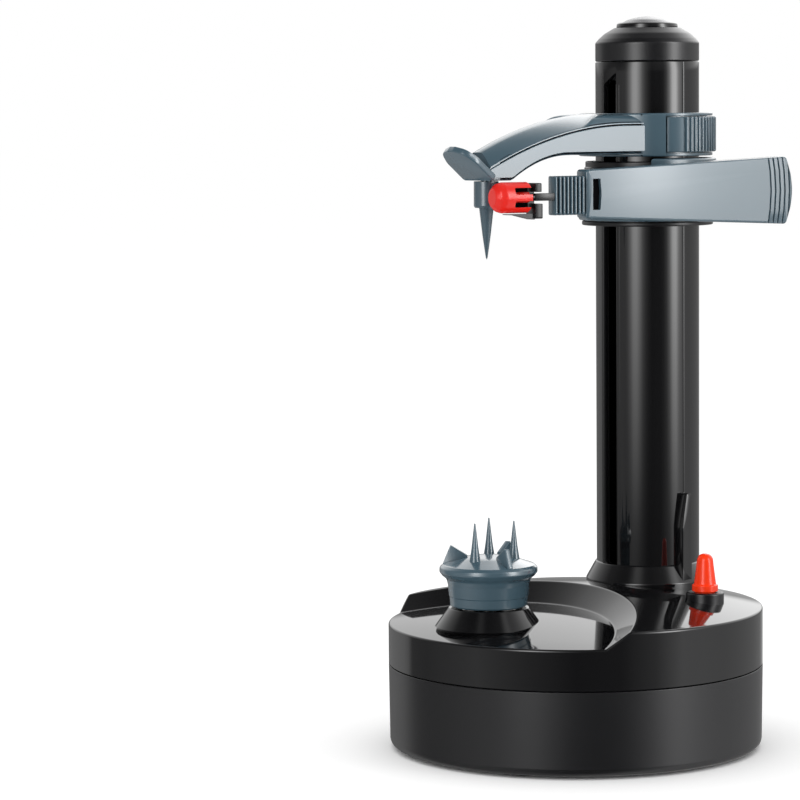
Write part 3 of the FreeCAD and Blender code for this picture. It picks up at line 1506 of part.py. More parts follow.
def blade_cartridge():
    d = dim
    right = d.lever_left - d.end_gap
    inset = d.grip_rib_depth
    core = box(
        "grip_core",
        right - d.grip_left,
        d.grip_depth - 2 * inset,
        d.grip_height - 2 * inset,
        d.grip_left,
        d.grip_front + inset,
        grip_bottom + inset,
    )
    face = box("grip_end", d.grip_face, d.grip_depth, d.grip_height, d.grip_left, d.grip_front, grip_bottom)
    parts = [core, face]
    room = right - d.grip_left - d.grip_face
    count = int(room.value / d.grip_rib_pitch.value)
    for i in range(count):
        x = right - d.grip_rib_width - d.grip_rib_pitch * i
        parts.append(box(f"grip_rib_{i}", d.grip_rib_width, d.grip_depth, d.grip_height, x, d.grip_front, grip_bottom))
    tongue_x = right - 1
    parts.append(
        box(
            "grip_tongue",
            d.tongue_length + 1,
            d.tongue_depth,
            d.tongue_height,
            tongue_x,
            d.tongue_front,
            tongue_bottom,
        )
    )
    on_lever("blade_grip", fuse("blade_grip_fuse", *parts))
    half = 0.5 * d.rod_width
    depth = d.blade_axis_depth
    height = blade_axis_height
    rod_length = d.grip_left - d.rod_left
    rod = box("rod_bar", rod_length, d.rod_width, d.rod_width, d.rod_left, depth - half, height - half)
    pin = lying("rod_pin", d.pin_radius, d.rod_left - d.pin_left, d.pin_left, depth, height)
    on_lever("blade_rod", fuse("blade_rod_fuse", rod, pin))
    body_length = d.head_body_right - d.head_left
    barrel = turned(
        "head_barrel",
        [
            (0, 0),
            (0, 0.62 * d.head_radius),
            (0.11 * body_length, 0.9 * d.head_radius),
            (0.26 * body_length, d.head_radius),
            (body_length, d.head_radius),
            (body_length, 0),
        ],
        d.head_left,
        depth,
        height,
        role="XY_Plane",
        axis="H_Axis",
    )
    prong_length = d.head_right - d.head_body_right + 1
    prong_x = d.head_body_right - 1
    round_limit = lying("prong_limit", d.head_radius, prong_length, prong_x, depth, height)
    reach = d.head_radius - d.prong_gap_high
    width = 2 * d.prong_half_width
    top = box("prong_top", prong_length, width, reach, prong_x, depth - 0.5 * width, height + d.prong_gap_high)
    low = box("prong_low", prong_length, width, reach, prong_x, depth - 0.5 * width, height - d.head_radius)
    mid_half = d.prong_gap_low
    mid = box("prong_mid", prong_length, 2 * mid_half, 2 * mid_half, prong_x, depth - mid_half, height - mid_half)
    prongs = common("prong_set", round_limit, fuse("prong_boxes", top, low, mid))
    pin_way = lying("pin_way", d.pin_radius + d.running_gap, 40, d.pin_left - d.end_gap, depth, height)
    blade_z = height - 0.5 * d.blade_height
    window = box("blade_window", d.blade_length, 10, d.blade_height, 0, depth + 2, blade_z)
    on_lever("blade_head", cut("blade_head_cut", fuse("head_whole", barrel, prongs), pin_way, window))
    jaw_x = d.head_right + 0.1
    jaw_front = depth - d.prong_half_width
    jaw_depth = d.prong_half_width + d.jaw_back
    upper_reach = d.jaw_top_reach - d.jaw_high_rise
    upper = box("jaw_upper", d.jaw_length, jaw_depth, upper_reach, jaw_x, jaw_front, height + d.jaw_high_rise)
    lower_reach = d.jaw_low_reach - d.jaw_low_drop
    lower = box("jaw_lower", d.jaw_length, jaw_depth, lower_reach, jaw_x, jaw_front, height - d.jaw_low_reach)
    back_height = d.jaw_top_reach + d.jaw_low_reach
    back = box(
        "jaw_back_plate",
        d.jaw_length,
        d.jaw_back_thickness,
        back_height,
        jaw_x,
        depth + d.jaw_back,
        height - d.jaw_low_reach,
    )
    guard = padded(
        "guard_wedge",
        [
            (d.pin_left, height - d.head_radius - 0.4),
            (d.pin_left, height - d.head_radius - 0.9),
            (jaw_x, height - d.jaw_low_reach),
            (jaw_x, height - d.head_radius - 0.4),
        ],
        0.6 * jaw_depth,
        "XZ_Plane",
        True,
    )
    at(guard, 0, jaw_front + 0.2 * jaw_depth, 0)
    on_lever("blade_frame", fuse("blade_frame_fuse", upper, lower, back, guard))
    strip = box(
        "blade_strip", d.blade_length, d.blade_thickness, d.blade_height, 0, depth + d.blade_depth, blade_z
    )
    slit_length = d.blade_length - 1.6
    slit = box("blade_slit_cut", slit_length, 5, d.blade_slit, 0.8, depth + 2, height - 0.5 * d.blade_slit)
    on_lever("peeling_blade", cut("peeling_blade_cut", strip, slit))


# Thumb knife standing in its socket on the base
def thumb_knife():
    d = dim
    tall = socket_top - tray_rim_height
    ring = cylinder("socket_round", d.socket_radius, tall, d.knife_x, d.knife_y, tray_rim_height)
    bore = cylinder("socket_way", d.socket_bore, tall, d.knife_x, d.knife_y, tray_rim_height)
    land = crown("socket_land", d.base_radius, d.crown_rise, rim_height)
    node("knife_socket", cut("knife_socket_cut", ring, bore, land))
    flange = socket_top + 0.2
    neck = flange + d.knife_flange_height
    rise = knife_top - neck
    cap = turned(
        "thumb_knife_body",
        [
            (0, knife_stub_bottom),
            (d.knife_stub_radius, knife_stub_bottom),
            (d.knife_stub_radius, flange),
            (d.knife_flange_radius, flange),
            (d.knife_flange_radius, neck - 0.4),
            (d.knife_flange_radius - 0.4, neck),
            (d.knife_flange_radius - 0.7, neck),
            (d.knife_flange_radius - 1.75, neck + 0.7 * rise),
            (d.knife_flange_radius - 2.5, neck + 0.88 * rise),
            (d.knife_flange_radius - 3.7, neck + 0.98 * rise),
            (0, knife_top),
        ],
        d.knife_x,
        d.knife_y,
    )
    node("thumb_knife", cap)
    half = 0.5 * d.knife_blade_width
    blade = padded(
        "knife_blade_plate",
        [
            (-half, knife_stub_bottom),
            (half, knife_stub_bottom),
            (half, knife_blade_bottom + 2),
            (0, knife_blade_bottom),
            (-half, knife_blade_bottom + 2),
        ],
        d.knife_blade_thickness,
        "XZ_Plane",
    )
    node("knife_blade", at(blade, d.knife_x, d.knife_y + 0.5 * d.knife_blade_thickness, 0))


lower_shell()
base_fittings()
electrics()
upper_shell()
gear_deck()
gears()
food_holder()
column()
column_cap()
lead_screw()
clamp_arm()
ribbed_shell()
top_spike()
carriage()
cutter_lever()
blade_cartridge()
thumb_knife()
doc.recompute()

for item in doc.Objects:
    for state in item.State:
        if state in ("Invalid", "Error"):
            raise RuntimeError(f"{item.Label} did not build: {item.State}")
for label, item in nodes.items():
    if item.Shape.isNull():
        raise RuntimeError(f"{label} has no shape")
    if not item.Shape.isValid():
        raise RuntimeError(f"{label} is not valid")

os.makedirs("parts", exist_ok=True)
for label, item in nodes.items():
    item.Shape.exportStep(f"parts/{label}.step")
    print(f"{label}: {len(item.Shape.Solids)} solids, {item.Shape.Volume / 1000:.2f} cm3")
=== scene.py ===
import bpy
import bmesh
import json
import math
from mathutils import Matrix, Vector


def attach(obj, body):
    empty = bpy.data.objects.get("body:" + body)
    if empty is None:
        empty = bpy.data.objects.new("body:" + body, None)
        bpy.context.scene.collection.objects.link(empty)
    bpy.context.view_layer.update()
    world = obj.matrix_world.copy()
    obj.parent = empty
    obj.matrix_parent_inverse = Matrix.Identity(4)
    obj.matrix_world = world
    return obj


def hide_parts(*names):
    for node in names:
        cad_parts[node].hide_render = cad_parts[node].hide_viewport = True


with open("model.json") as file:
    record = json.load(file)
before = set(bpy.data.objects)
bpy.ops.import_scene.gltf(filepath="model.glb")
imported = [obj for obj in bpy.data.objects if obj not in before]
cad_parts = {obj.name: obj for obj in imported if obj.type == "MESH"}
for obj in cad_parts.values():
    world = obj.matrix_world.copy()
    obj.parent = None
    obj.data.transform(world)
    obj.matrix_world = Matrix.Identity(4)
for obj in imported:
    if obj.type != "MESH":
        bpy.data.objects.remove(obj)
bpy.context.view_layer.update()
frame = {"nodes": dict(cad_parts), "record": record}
print("frame loaded")
mm = 0.001


# Mesh building, in millimetres
def makeObject(name, points, faces, sharp=32):
    mesh = bpy.data.meshes.new(name)
    mesh.from_pydata([Vector(p) * mm for p in points], [], faces)
    work = bmesh.new()
    work.from_mesh(mesh)
    bmesh.ops.remove_doubles(work, verts=work.verts, dist=1e-7)
    bmesh.ops.recalc_face_normals(work, faces=work.faces)
    work.to_mesh(mesh)
    work.free()
    obj = bpy.data.objects.new(name, mesh)
    bpy.context.scene.collection.objects.link(obj)
    shade(obj, sharp)
    return obj


def shade(obj, sharp=32):
    obj.data.shade_smooth()
    obj.data.set_sharp_from_angle(angle=math.radians(sharp))


def holdFlat(obj, area, limit=40):
    # bevels round a face larger than area square mm take its normal, so the face stays flat to the light
    mesh = obj.data
    big = {}
    for face in mesh.polygons:
        if face.area > area * mm * mm:
            for corner in face.vertices:
                big.setdefault(corner, []).append(face.normal.copy())
    normals = [entry.vector.copy() for entry in mesh.corner_normals]
    for face in mesh.polygons:
        for loop in face.loop_indices:
            for flat in big.get(mesh.loops[loop].vertex_index, ()):
                if face.normal.angle(flat, 0) < math.radians(limit):
                    normals[loop] = flat
    mesh.normals_split_custom_set(normals)


def paint(obj, look, chosen):
    # faces whose middle (in mm) is chosen get a second material: a real second finish, or a dull black as
    # painted shade
    obj.data.materials.append(materials[look])
    for face in obj.data.polygons:
        if chosen(face.center / mm):
            face.material_index = 1


def bake(obj, sharp=32):
    graph = bpy.context.evaluated_depsgraph_get()
    made = bpy.data.meshes.new_from_object(obj.evaluated_get(graph))
    old = obj.data
    obj.modifiers.clear()
    obj.data = made
    made.name = old.name
    bpy.data.meshes.remove(old)
    shade(obj, sharp)
    return obj


def move(obj, matrix):
    obj.data.transform(matrix)
    return obj


def shift(obj, x, y, z):
    return move(obj, Matrix.Translation(Vector((x, y, z)) * mm))


def join(name, pieces, sharp=32):
    work = bmesh.new()
    for piece in pieces:
        work.from_mesh(piece.data)
    mesh = bpy.data.meshes.new(name)
    work.to_mesh(mesh)
    work.free()
    for piece in pieces:
        old = piece.data
        bpy.data.objects.remove(piece)
        bpy.data.meshes.remove(old)
    obj = bpy.data.objects.new(name, mesh)
    bpy.context.scene.collection.objects.link(obj)
    shade(obj, sharp)
    return obj


def carve(obj, cutters, operation="DIFFERENCE", sharp=32):
    for cutter in cutters:
        change = obj.modifiers.new("carve", "BOOLEAN")
        change.object = cutter
        change.operation = operation
        change.solver = "EXACT"
    bake(obj, sharp)
    for cutter in cutters:
        bpy.data.objects.remove(cutter)
    return obj


def soften(obj, width, segments=3, angle=35, sharp=32):
    edge = obj.modifiers.new("soften", "BEVEL")
    edge.width = width * mm
    edge.segments = segments
    edge.limit_method = "ANGLE"
    edge.angle_limit = math.radians(angle)
    edge.harden_normals = False
    edge.use_clamp_overlap = True
    return bake(obj, sharp)


def polar(radius, degrees):
    return (radius * math.cos(math.radians(degrees)), radius * math.sin(math.radians(degrees)))


def roundCorners(corners, closed, steps=5, hold=0.12):
    # corners are (x, y) or (x, y, radius); points at hold beside each rounding keep long faces flat
    path = []
    count = len(corners)
    for i, corner in enumerate(corners):
        here = Vector(corner[:2])
        radius = corner[2] if len(corner) > 2 else 0
        if not radius or (not closed and i in (0, count - 1)):
            path.append(here)
            continue
        back = Vector(corners[i - 1][:2]) - here
        ahead = Vector(corners[(i + 1) % count][:2]) - here
        half = back.angle(ahead) / 2
        cut = min(radius / math.tan(half), 0.49 * back.length, 0.49 * ahead.length)
        real = cut * math.tan(half)
        inward = (back.normalized() + ahead.normalized()).normalized()
        centre = here + inward * (real / math.sin(half))
        first = here + back.normalized() * cut - centre
        last = here + ahead.normalized() * cut - centre
        total = first.angle(last)
        if cut + hold < 0.45 * back.length:
            path.append(here + back.normalized() * (cut + hold))
        for k in range(steps + 1):
            share = k / steps
            blend = math.sin((1 - share) * total) * first + math.sin(share * total) * last
            path.append(centre + blend / math.sin(total))
        if cut + hold < 0.45 * ahead.length:
            path.append(here + ahead.normalized() * (cut + hold))
    return path


def lathe(name, corners, closed=True, steps=160, start=0, sweep=360, arcSteps=5, sharp=32):
    # corners are (radius, height, rounding)
    path = roundCorners(corners, closed, arcSteps)
    full = sweep >= 360
    columns = steps if full else steps + 1
    rows = len(path)
    points = []
    for i in range(columns):
        angle = math.radians(start + sweep * i / steps)
        points += [(p.x * math.cos(angle), p.x * math.sin(angle), p.y) for p in path]
    faces = []
    for i in range(steps):
        j = (i + 1) % columns
        for k in range(rows if closed else rows - 1):
            m = (k + 1) % rows
            faces.append((i * rows + k, j * rows + k, j * rows + m, i * rows + m))
    if not full and closed:
        faces += [tuple(range(rows)), tuple(range((columns - 1) * rows, columns * rows))]
    return makeObject(name, points, faces, sharp)


def prism(name, corners, low, high, along="z", arcSteps=5, sharp=32):
    # an outline pushed from low to high along one axis
    path = roundCorners(corners, True, arcSteps)
    count = len(path)

    def spot(p, level):
        if along == "z":
            return (p.x, p.y, level)
        if along == "y":
            return (p.x, level, p.y)
        return (level, p.x, p.y)

    points = [spot(p, low) for p in path] + [spot(p, high) for p in path]
    faces = [tuple(range(count)), tuple(range(count, 2 * count))]
    faces += [(i, (i + 1) % count, count + (i + 1) % count, count + i) for i in range(count)]
    return makeObject(name, points, faces, sharp)


def block(name, low, high):
    x0, y0, z0 = low
    x1, y1, z1 = high
    return prism(name, [(x0, y0), (x1, y0), (x1, y1), (x0, y1)], z0, z1)


def rod(name, radius, low, high, along="z", steps=48):
    turns = [2 * math.pi * i / steps for i in range(steps)]
    circle = [(radius * math.cos(turn), radius * math.sin(turn)) for turn in turns]
    return prism(name, circle, low, high, along)


def skin(name, rings, capStart=True, capEnd=True, sharp=32):
    # joins rings of points, each a closed loop with the same count
    count = len(rings[0])
    points = [p for ring in rings for p in ring]
    faces = []
    for i in range(len(rings) - 1):
        for k in range(count):
            m = (k + 1) % count
            faces.append((i * count + k, i * count + m, (i + 1) * count + m, (i + 1) * count + k))
    if capStart:
        faces.append(tuple(range(count)))
    if capEnd:
        faces.append(tuple(range((len(rings) - 1) * count, len(rings) * count)))
    return makeObject(name, points, faces, sharp)


# Shader building
def groupNode(tree, group, inputs):
    node = tree.nodes.new("ShaderNodeGroup")
    node.node_tree = group
    for key, value in inputs.items():
        node.inputs[key].default_value = value
    return node


def combine(tree, operation, *values):
    # a math node fed by numbers and sockets
    node = tree.nodes.new("ShaderNodeMath")
    node.operation = operation
    for index, value in enumerate(values):
        if isinstance(value, (int, float)):
            node.inputs[index].default_value = value
        else:
            tree.links.new(value, node.inputs[index])
    return node.outputs["Value"]


def makeGrainGroup():
    # fine moulding grain, slow unevenness and handling marks, all as plain values
    group = bpy.data.node_groups.new("surfaceGrain", "ShaderNodeTree")
    face = group.interface
    face.new_socket("Scale", in_out="INPUT", socket_type="NodeSocketFloat")
    for name in ("Fine", "Slow", "Marks"):
        face.new_socket(name, in_out="OUTPUT", socket_type="NodeSocketFloat")
    nodes, links = group.nodes, group.links
    source = nodes.new("NodeGroupInput")
    result = nodes.new("NodeGroupOutput")
    place = nodes.new("ShaderNodeTexCoord")
    fine = nodes.new("ShaderNodeTexNoise")
    fine.inputs["Detail"].default_value = 3
    slow = nodes.new("ShaderNodeTexNoise")
    slow.inputs["Scale"].default_value = 28
    slow.inputs["Detail"].default_value = 2
    marks = nodes.new("ShaderNodeTexNoise")
    marks.inputs["Scale"].default_value = 9
    marks.inputs["Detail"].default_value = 8
    marks.inputs["Distortion"].default_value = 1.2
    ramp = nodes.new("ShaderNodeMapRange")
    ramp.inputs["From Min"].default_value = 0.52
    ramp.inputs["From Max"].default_value = 0.78
    for noise in (fine, slow, marks):
        links.new(place.outputs["Object"], noise.inputs["Vector"])
    links.new(source.outputs["Scale"], fine.inputs["Scale"])
    links.new(marks.outputs["Fac"], ramp.inputs["Value"])
    links.new(fine.outputs["Fac"], result.inputs["Fine"])
    links.new(slow.outputs["Fac"], result.inputs["Slow"])
    links.new(ramp.outputs["Result"], result.inputs["Marks"])
    return group


def makeWearGroup():
    # a mask that is 1 on worn convex edges
    group = bpy.data.node_groups.new("edgeWear", "ShaderNodeTree")
    face = group.interface
    face.new_socket("Start", in_out="INPUT", socket_type="NodeSocketFloat")
    face.new_socket("Mask", in_out="OUTPUT", socket_type="NodeSocketFloat")
    nodes, links = group.nodes, group.links
    source = nodes.new("NodeGroupInput")
    result = nodes.new("NodeGroupOutput")
    shape = nodes.new("ShaderNodeNewGeometry")
    place = nodes.new("ShaderNodeTexCoord")
    noise = nodes.new("ShaderNodeTexNoise")
    noise.inputs["Scale"].default_value = 240
    ramp = nodes.new("ShaderNodeMapRange")
    ramp.inputs["From Max"].default_value = 0.62
    links.new(place.outputs["Object"], noise.inputs["Vector"])
    links.new(shape.outputs["Pointiness"], ramp.inputs["Value"])
    links.new(source.outputs["Start"], ramp.inputs["From Min"])
    both = combine(group, "MULTIPLY", ramp.outputs["Result"], noise.outputs["Fac"])
    links.new(both, result.inputs["Mask"])
    return group


grainGroup = makeGrainGroup()
wearGroup = makeWearGroup()


def makeMaterial(name, look):
    material = bpy.data.materials.new(name)
    material.use_nodes = True
    tree = material.node_tree
    nodes, links = tree.nodes, tree.links
    surface = nodes["Principled BSDF"]
    grain = groupNode(tree, grainGroup, {"Scale": look.get("grainScale", 1800)})
    wear = groupNode(tree, wearGroup, {"Start": look.get("wearStart", 0.54)})
    tint = nodes.new("ShaderNodeMix")
    tint.data_type = "RGBA"
    tint.inputs["A"].default_value = (*look["color"], 1)
    tint.inputs["B"].default_value = (*look.get("wearColor", look["color"]), 1)
    amount = combine(tree, "MULTIPLY", wear.outputs["Mask"], look.get("wear", 0.25))
    links.new(amount, tint.inputs["Factor"])
    links.new(tint.outputs["Result"], surface.inputs["Base Color"])
    change = look.get("roughChange", 0.05)
    rough = combine(tree, "MULTIPLY_ADD", grain.outputs["Slow"], change, look["roughness"])
    marked = combine(tree, "MULTIPLY_ADD", grain.outputs["Marks"], look.get("marks", 0.03), rough)
    links.new(marked, surface.inputs["Roughness"])
    bump = nodes.new("ShaderNodeBump")
    bump.inputs["Strength"].default_value = look.get("bump", 0.02)
    bump.inputs["Distance"].default_value = 0.0002
    links.new(grain.outputs["Fine"], bump.inputs["Height"])
    links.new(bump.outputs["Normal"], surface.inputs["Normal"])
    if "swell" in look:
        # the face swells slowly about one place: reach is how far along and up a metre of fall takes
        swell = look["swell"]
        place = nodes.new("ShaderNodeTexCoord")
        local = nodes.new("ShaderNodeMapping")
        local.vector_type = "TEXTURE"
        local.inputs["Location"].default_value = swell["centre"]
        local.inputs["Rotation"].default_value = (0, 0, swell["turn"])
        local.inputs["Scale"].default_value = (swell["reach"][0], 1000, swell["reach"][1])
        square = nodes.new("ShaderNodeVectorMath")
        square.operation = "DOT_PRODUCT"
        broad = nodes.new("ShaderNodeBump")
        broad.inputs["Distance"].default_value = 1
        links.new(place.outputs["Object"], local.inputs["Vector"])
        links.new(local.outputs["Vector"], square.inputs[0])
        links.new(local.outputs["Vector"], square.inputs[1])
        links.new(combine(tree, "MULTIPLY", square.outputs["Value"], -1), broad.inputs["Height"])
        links.new(broad.outputs["Normal"], bump.inputs["Normal"])
    surface.inputs["Metallic"].default_value = look.get("metal", 0)
    surface.inputs["IOR"].default_value = look.get("ior", 1.5)
    surface.inputs["Specular IOR Level"].default_value = look.get("shine", 0.5)
    surface.inputs["Coat Weight"].default_value = look.get("coat", 0)
    surface.inputs["Coat Roughness"].default_value = look.get("coatRough", 0.05)
    surface.inputs["Subsurface Weight"].default_value = look.get("under", 0)
    surface.inputs["Subsurface Radius"].default_value = look.get("underRadius", (1, 0.3, 0.1))
    surface.inputs["Subsurface Scale"].default_value = 0.002
    return material


looks = {
    "gloss_black": {
        "color": (0.0045, 0.0045, 0.005), "wearColor": (0.03, 0.03, 0.03), "wear": 0.1,
        "roughness": 0.045, "roughChange": 0.02, "marks": 0.02, "bump": 0.006,
    },
    "satin_black": {
        "color": (0.0055, 0.0055, 0.0065), "wearColor": (0.05, 0.05, 0.05), "wear": 0.15,
        "roughness": 0.27, "roughChange": 0.06, "bump": 0.05,
    },
    "slate_plastic": {
        "color": (0.05, 0.089, 0.115), "wearColor": (0.2, 0.25, 0.29),
        "roughness": 0.2, "roughChange": 0.05, "bump": 0.02, "coat": 0.75, "coatRough": 0.12,
    },
    "slate_light": {
        "color": (0.05, 0.082, 0.104), "wearColor": (0.2, 0.25, 0.29),
        "roughness": 0.2, "bump": 0.02, "coat": 0.75, "coatRough": 0.12,
    },
    "red_plastic": {
        "color": (0.68, 0.012, 0.006), "wearColor": (0.8, 0.2, 0.15), "roughness": 0.22, "under": 0.15,
    },
    "orange_plastic": {
        "color": (0.9, 0.038, 0.003), "wearColor": (0.95, 0.2, 0.08), "roughness": 0.14, "shine": 0.35,
    },
    "button_silver": {
        "color": (0.2, 0.2, 0.205), "wearColor": (0.4, 0.4, 0.4), "roughness": 0.24, "metal": 0.9,
    },
    "white_nylon": {"color": (0.75, 0.75, 0.7), "roughness": 0.4, "under": 0.2, "bump": 0.04},
    "steel": {"color": (0.6, 0.6, 0.6), "roughness": 0.22, "metal": 1, "bump": 0.03},
    "black_steel": {"color": (0.012, 0.012, 0.013), "roughness": 0.4, "metal": 0.3},
    "brass": {"color": (0.72, 0.5, 0.2), "roughness": 0.25, "metal": 1},
    "rubber_black": {"color": (0.012, 0.012, 0.012), "roughness": 0.7, "bump": 0.2},
    "cell_wrap": {"color": (0.08, 0.1, 0.16), "roughness": 0.3},
    "board_green": {"color": (0.02, 0.16, 0.06), "roughness": 0.35},
    "jack_black": {"color": (0.012, 0.012, 0.012), "roughness": 0.35},
    # a dull black that takes almost no reflection, used only as painted shade in grooves, between ribs and in
    # hollows
    "painted_shade_black": {"color": (0.004, 0.004, 0.005), "roughness": 0.9, "shine": 0.05, "marks": 0},
}
materials = {name: makeMaterial(name + "_look", look) for name, look in looks.items()}
for part in frame["record"]["subparts"]:
    obj = frame["nodes"][part["node"]]
    obj.data.materials.clear()
    obj.data.materials.append(materials[part["material_slot"]])
nodeSlot = {part["node"]: part["material_slot"] for part in frame["record"]["subparts"]}
nodeBody = {}
for body, members in frame["record"]["behaviour"]["bodies"].items():
    nodeBody.update({node: body for node in members})


def install(obj, *nodes):
    # a finished piece: its finish, the body it moves with and the nodes it stands for
    name = nodes[0]
    obj.data.materials.clear()
    obj.data.materials.append(materials[nodeSlot[name]])
    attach(obj, nodeBody[name])
    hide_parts(*nodes)
    return obj


# Lower shell
lower = {
    "radius": 72.5, "bottom": 1.0, "round": 3.0, "taper": 0.4, "seam": 32.75, "seamBevel": 0.1, "wall": 2.5,
    "openings": {
        "mouth": ((-30, -61.5, 0), (30, -7.5, 2.3)),
        "mouthDeep": ((-28, -59.5, 0), (28, -9.5, 5)),
        "tabSeat": ((-23.3, -7.6, 0), (-12.7, 1.4, 2.3)),
    },
    "jackRadius": 5.4, "jackReach": (60, 80), "jackHeight": 16,
    "screwRadius": 2.7, "screwDepth": 5, "screwRing": 64, "screwAngles": (45, 135, 225, 315),
}


def buildLowerShell():
    r, b, s = lower["radius"], lower["bottom"], lower["seam"]
    cup = lathe(
        "lowerShell",
        [
            (0, b),
            (r - lower["taper"], b, lower["round"]),
            (r, s - lower["seamBevel"], 0.15),
            (r - lower["seamBevel"], s),
            (r - lower["wall"], s),
            (r - lower["wall"], b + lower["wall"]),
            (0, b + lower["wall"]),
        ],
        closed=False,
        steps=240,
    )
    cutters = [block(name, *corners) for name, corners in lower["openings"].items()]
    jack = rod("jackHole", lower["jackRadius"], *lower["jackReach"], along="x")
    cutters.append(shift(jack, 0, 0, lower["jackHeight"]))
    for angle in lower["screwAngles"]:
        way = rod("way", lower["screwRadius"], 0, lower["screwDepth"])
        cutters.append(shift(way, *polar(lower["screwRing"], angle), 0))
    carve(cup, cutters)
    install(cup, "lower_shell")


buildLowerShell()
print("lower shell built")

# Upper shell with the sunken tray and the boss
lid = {
    "radius": 72.5, "rim": 54.7, "rise": 7.8, "edge": 0.9, "seam": 32.85, "seamBevel": 0.5, "wall": 2.5,
    "lip": 8, "trayX": -72.9, "trayY": 1.0, "trayRadius": 69.85, "slopeRun": 7.9, "trayRim": 48.6,
    "trayRise": 6.0, "corner": 0.45, "cornerSamples": 9,
    "spindleX": -44.1, "columnX": 38.8, "knife": (27.6, -43.7),
    "bossHole": 17, "columnHole": 20.4, "knifeHole": 5.6,
    "columns": 150, "bends": 6, "hold": 0.15,
    "openStep": 1.4, "slopeStep": 0.8, "cornerStep": 0.12, "rimStep": 0.1,
    "boss": [(20.4, 51.4), (15.2, 58.5, 0.5), (12.4, 58.5, 0.4), (11.6, 57.4), (6, 57.4), (6, 47), (17, 47)],
}


def crownHeight(radius, rise, rim, distance):
    ball = (radius ** 2 + rise ** 2) / (2 * rise)
    return rim + rise - ball + math.sqrt(ball ** 2 - distance ** 2)


def floorHeight(x, y):
    return crownHeight(lid["radius"], lid["trayRise"], lid["trayRim"], math.hypot(x, y))


def landHeight(x, y):
    return crownHeight(lid["radius"], lid["rise"], lid["rim"], math.hypot(x, y))


def lidHeight(x, y):
    ox, oy = x - lid["trayX"], y - lid["trayY"]
    out = math.hypot(ox, oy)
    foot = lid["trayRadius"]
    top = foot + lid["slopeRun"]
    corner = lid["corner"]
    if out < foot - corner:
        return floorHeight(x, y)
    if out > top + corner:
        return landHeight(x, y)
    dx, dy = ox / out, oy / out

    def along(height, distance):
        return height(lid["trayX"] + dx * distance, lid["trayY"] + dy * distance)

    total = 0
    count = lid["cornerSamples"]
    for i in range(count):
        here = out + corner * (2 * i / (count - 1) - 1)
        if here <= foot:
            total += along(floorHeight, here)
        elif here >= top:
            total += along(landHeight, here)
        else:
            share = (here - foot) / lid["slopeRun"]
            total += along(floorHeight, foot) * (1 - share) + along(landHeight, top) * share
    return total / count


def spread(start, end, step):
    count = max(1, round((end - start) / step))
    return [start + (end - start) * i / count for i in range(count)]


def buildUpperShell():
    reach = lid["radius"] - lid["edge"]
    centre = math.hypot(lid["trayX"], lid["trayY"])
    facing = math.atan2(-lid["trayY"], -lid["trayX"])
    foot = lid["trayRadius"]
    top = foot + lid["slopeRun"]
    near, far = centre - reach, centre + reach
    # rows lie close together at the rim and at the tray's two corners
    outs = spread(near, near + 2, lid["rimStep"]) + spread(near + 2, foot - 1, lid["openStep"])
    outs += spread(foot - 1, foot + 1, lid["cornerStep"]) + spread(foot + 1, top - 1, lid["slopeStep"])
    outs += spread(top - 1, top + 1, lid["cornerStep"]) + spread(top + 1, far - 2, lid["openStep"])
    outs += spread(far - 2, far, lid["rimStep"])
    outs.append(far)
    columns = lid["columns"]
    points = []
    for out in outs:
        share = (out ** 2 + centre ** 2 - reach ** 2) / (2 * out * centre)
        limit = math.acos(max(-1, min(1, share)))
        for k in range(columns + 1):
            angle = facing + limit * (2 * k / columns - 1)
            x = lid["trayX"] + out * math.cos(angle)
            y = lid["trayY"] + out * math.sin(angle)
            points.append((x, y, lidHeight(x, y)))
    rows = len(outs)
    wide = columns + 1
    holes = [(lid["spindleX"], 0, lid["bossHole"]), (lid["columnX"], 0, lid["columnHole"]),
             (*lid["knife"], lid["knifeHole"])]
    faces = []
    for i in range(rows - 1):
        for k in range(columns):
            corners = (i * wide + k, i * wide + k + 1, (i + 1) * wide + k + 1, (i + 1) * wide + k)
            x = sum(points[c][0] for c in corners) / 4
            y = sum(points[c][1] for c in corners) / 4
            if all(math.hypot(x - hx, y - hy) > hr for hx, hy, hr in holes):
                faces.append(corners)
    ring = [i * wide + columns for i in range(rows)] + [i * wide for i in range(rows - 2, 0, -1)]
    last = ring
    # rings below the rim: distance from the centre, drop from the rim, or a level of their own
    levels = []
    for k in range(1, lid["bends"] + 1):
        turn = math.radians(90 * k / lid["bends"])
        levels.append((reach + lid["edge"] * math.sin(turn), lid["edge"] * (1 - math.cos(turn)), None))
    bevel, seam, hold = lid["seamBevel"], lid["seam"], lid["hold"]
    wall = lid["radius"] - lid["wall"]
    levels += [(lid["radius"], lid["edge"] + hold, None), (lid["radius"], 0, seam + bevel + hold),
               (lid["radius"], 0, seam + bevel), (lid["radius"] - bevel, 0, seam),
               (wall, 0, seam), (wall, 0, seam + lid["lip"])]
    for distance, drop, level in levels:
        start = len(points)
        for index in ring:
            x, y, z = points[index]
            scale = distance / math.hypot(x, y)
            points.append((x * scale, y * scale, z - drop if level is None else level))
        count = len(ring)
        fresh = [start + i for i in range(count)]
        faces += [(last[i], last[(i + 1) % count], fresh[(i + 1) % count], fresh[i]) for i in range(count)]
        last = fresh
    shell = makeObject("upperShell", points, faces, 40)
    boss = lathe("boss", lid["boss"], steps=128)
    install(join("upperShell", [shell, shift(boss, lid["spindleX"], 0, 0)], 40), "upper_shell")


buildUpperShell()
print("upper shell built")

# Rubber feet
feet = {"radius": 5.5, "height": 1.8, "spots": [(0, 0)] + [
    (62 * math.cos(math.radians(a)), 62 * math.sin(math.radians(a))) for a in (30, 150, 210, 330)]}


def buildFeet():
    made = []
    edge, top = feet["radius"] - 0.1, feet["height"]
    for x, y in feet["spots"]:
        foot = lathe("foot", [(0, 0), (edge, 0, 0.5), (edge, top), (0, top)], False, 48)
        made.append(shift(foot, x, y, 0))
    install(join("rubberFeet", made), "rubber_feet")


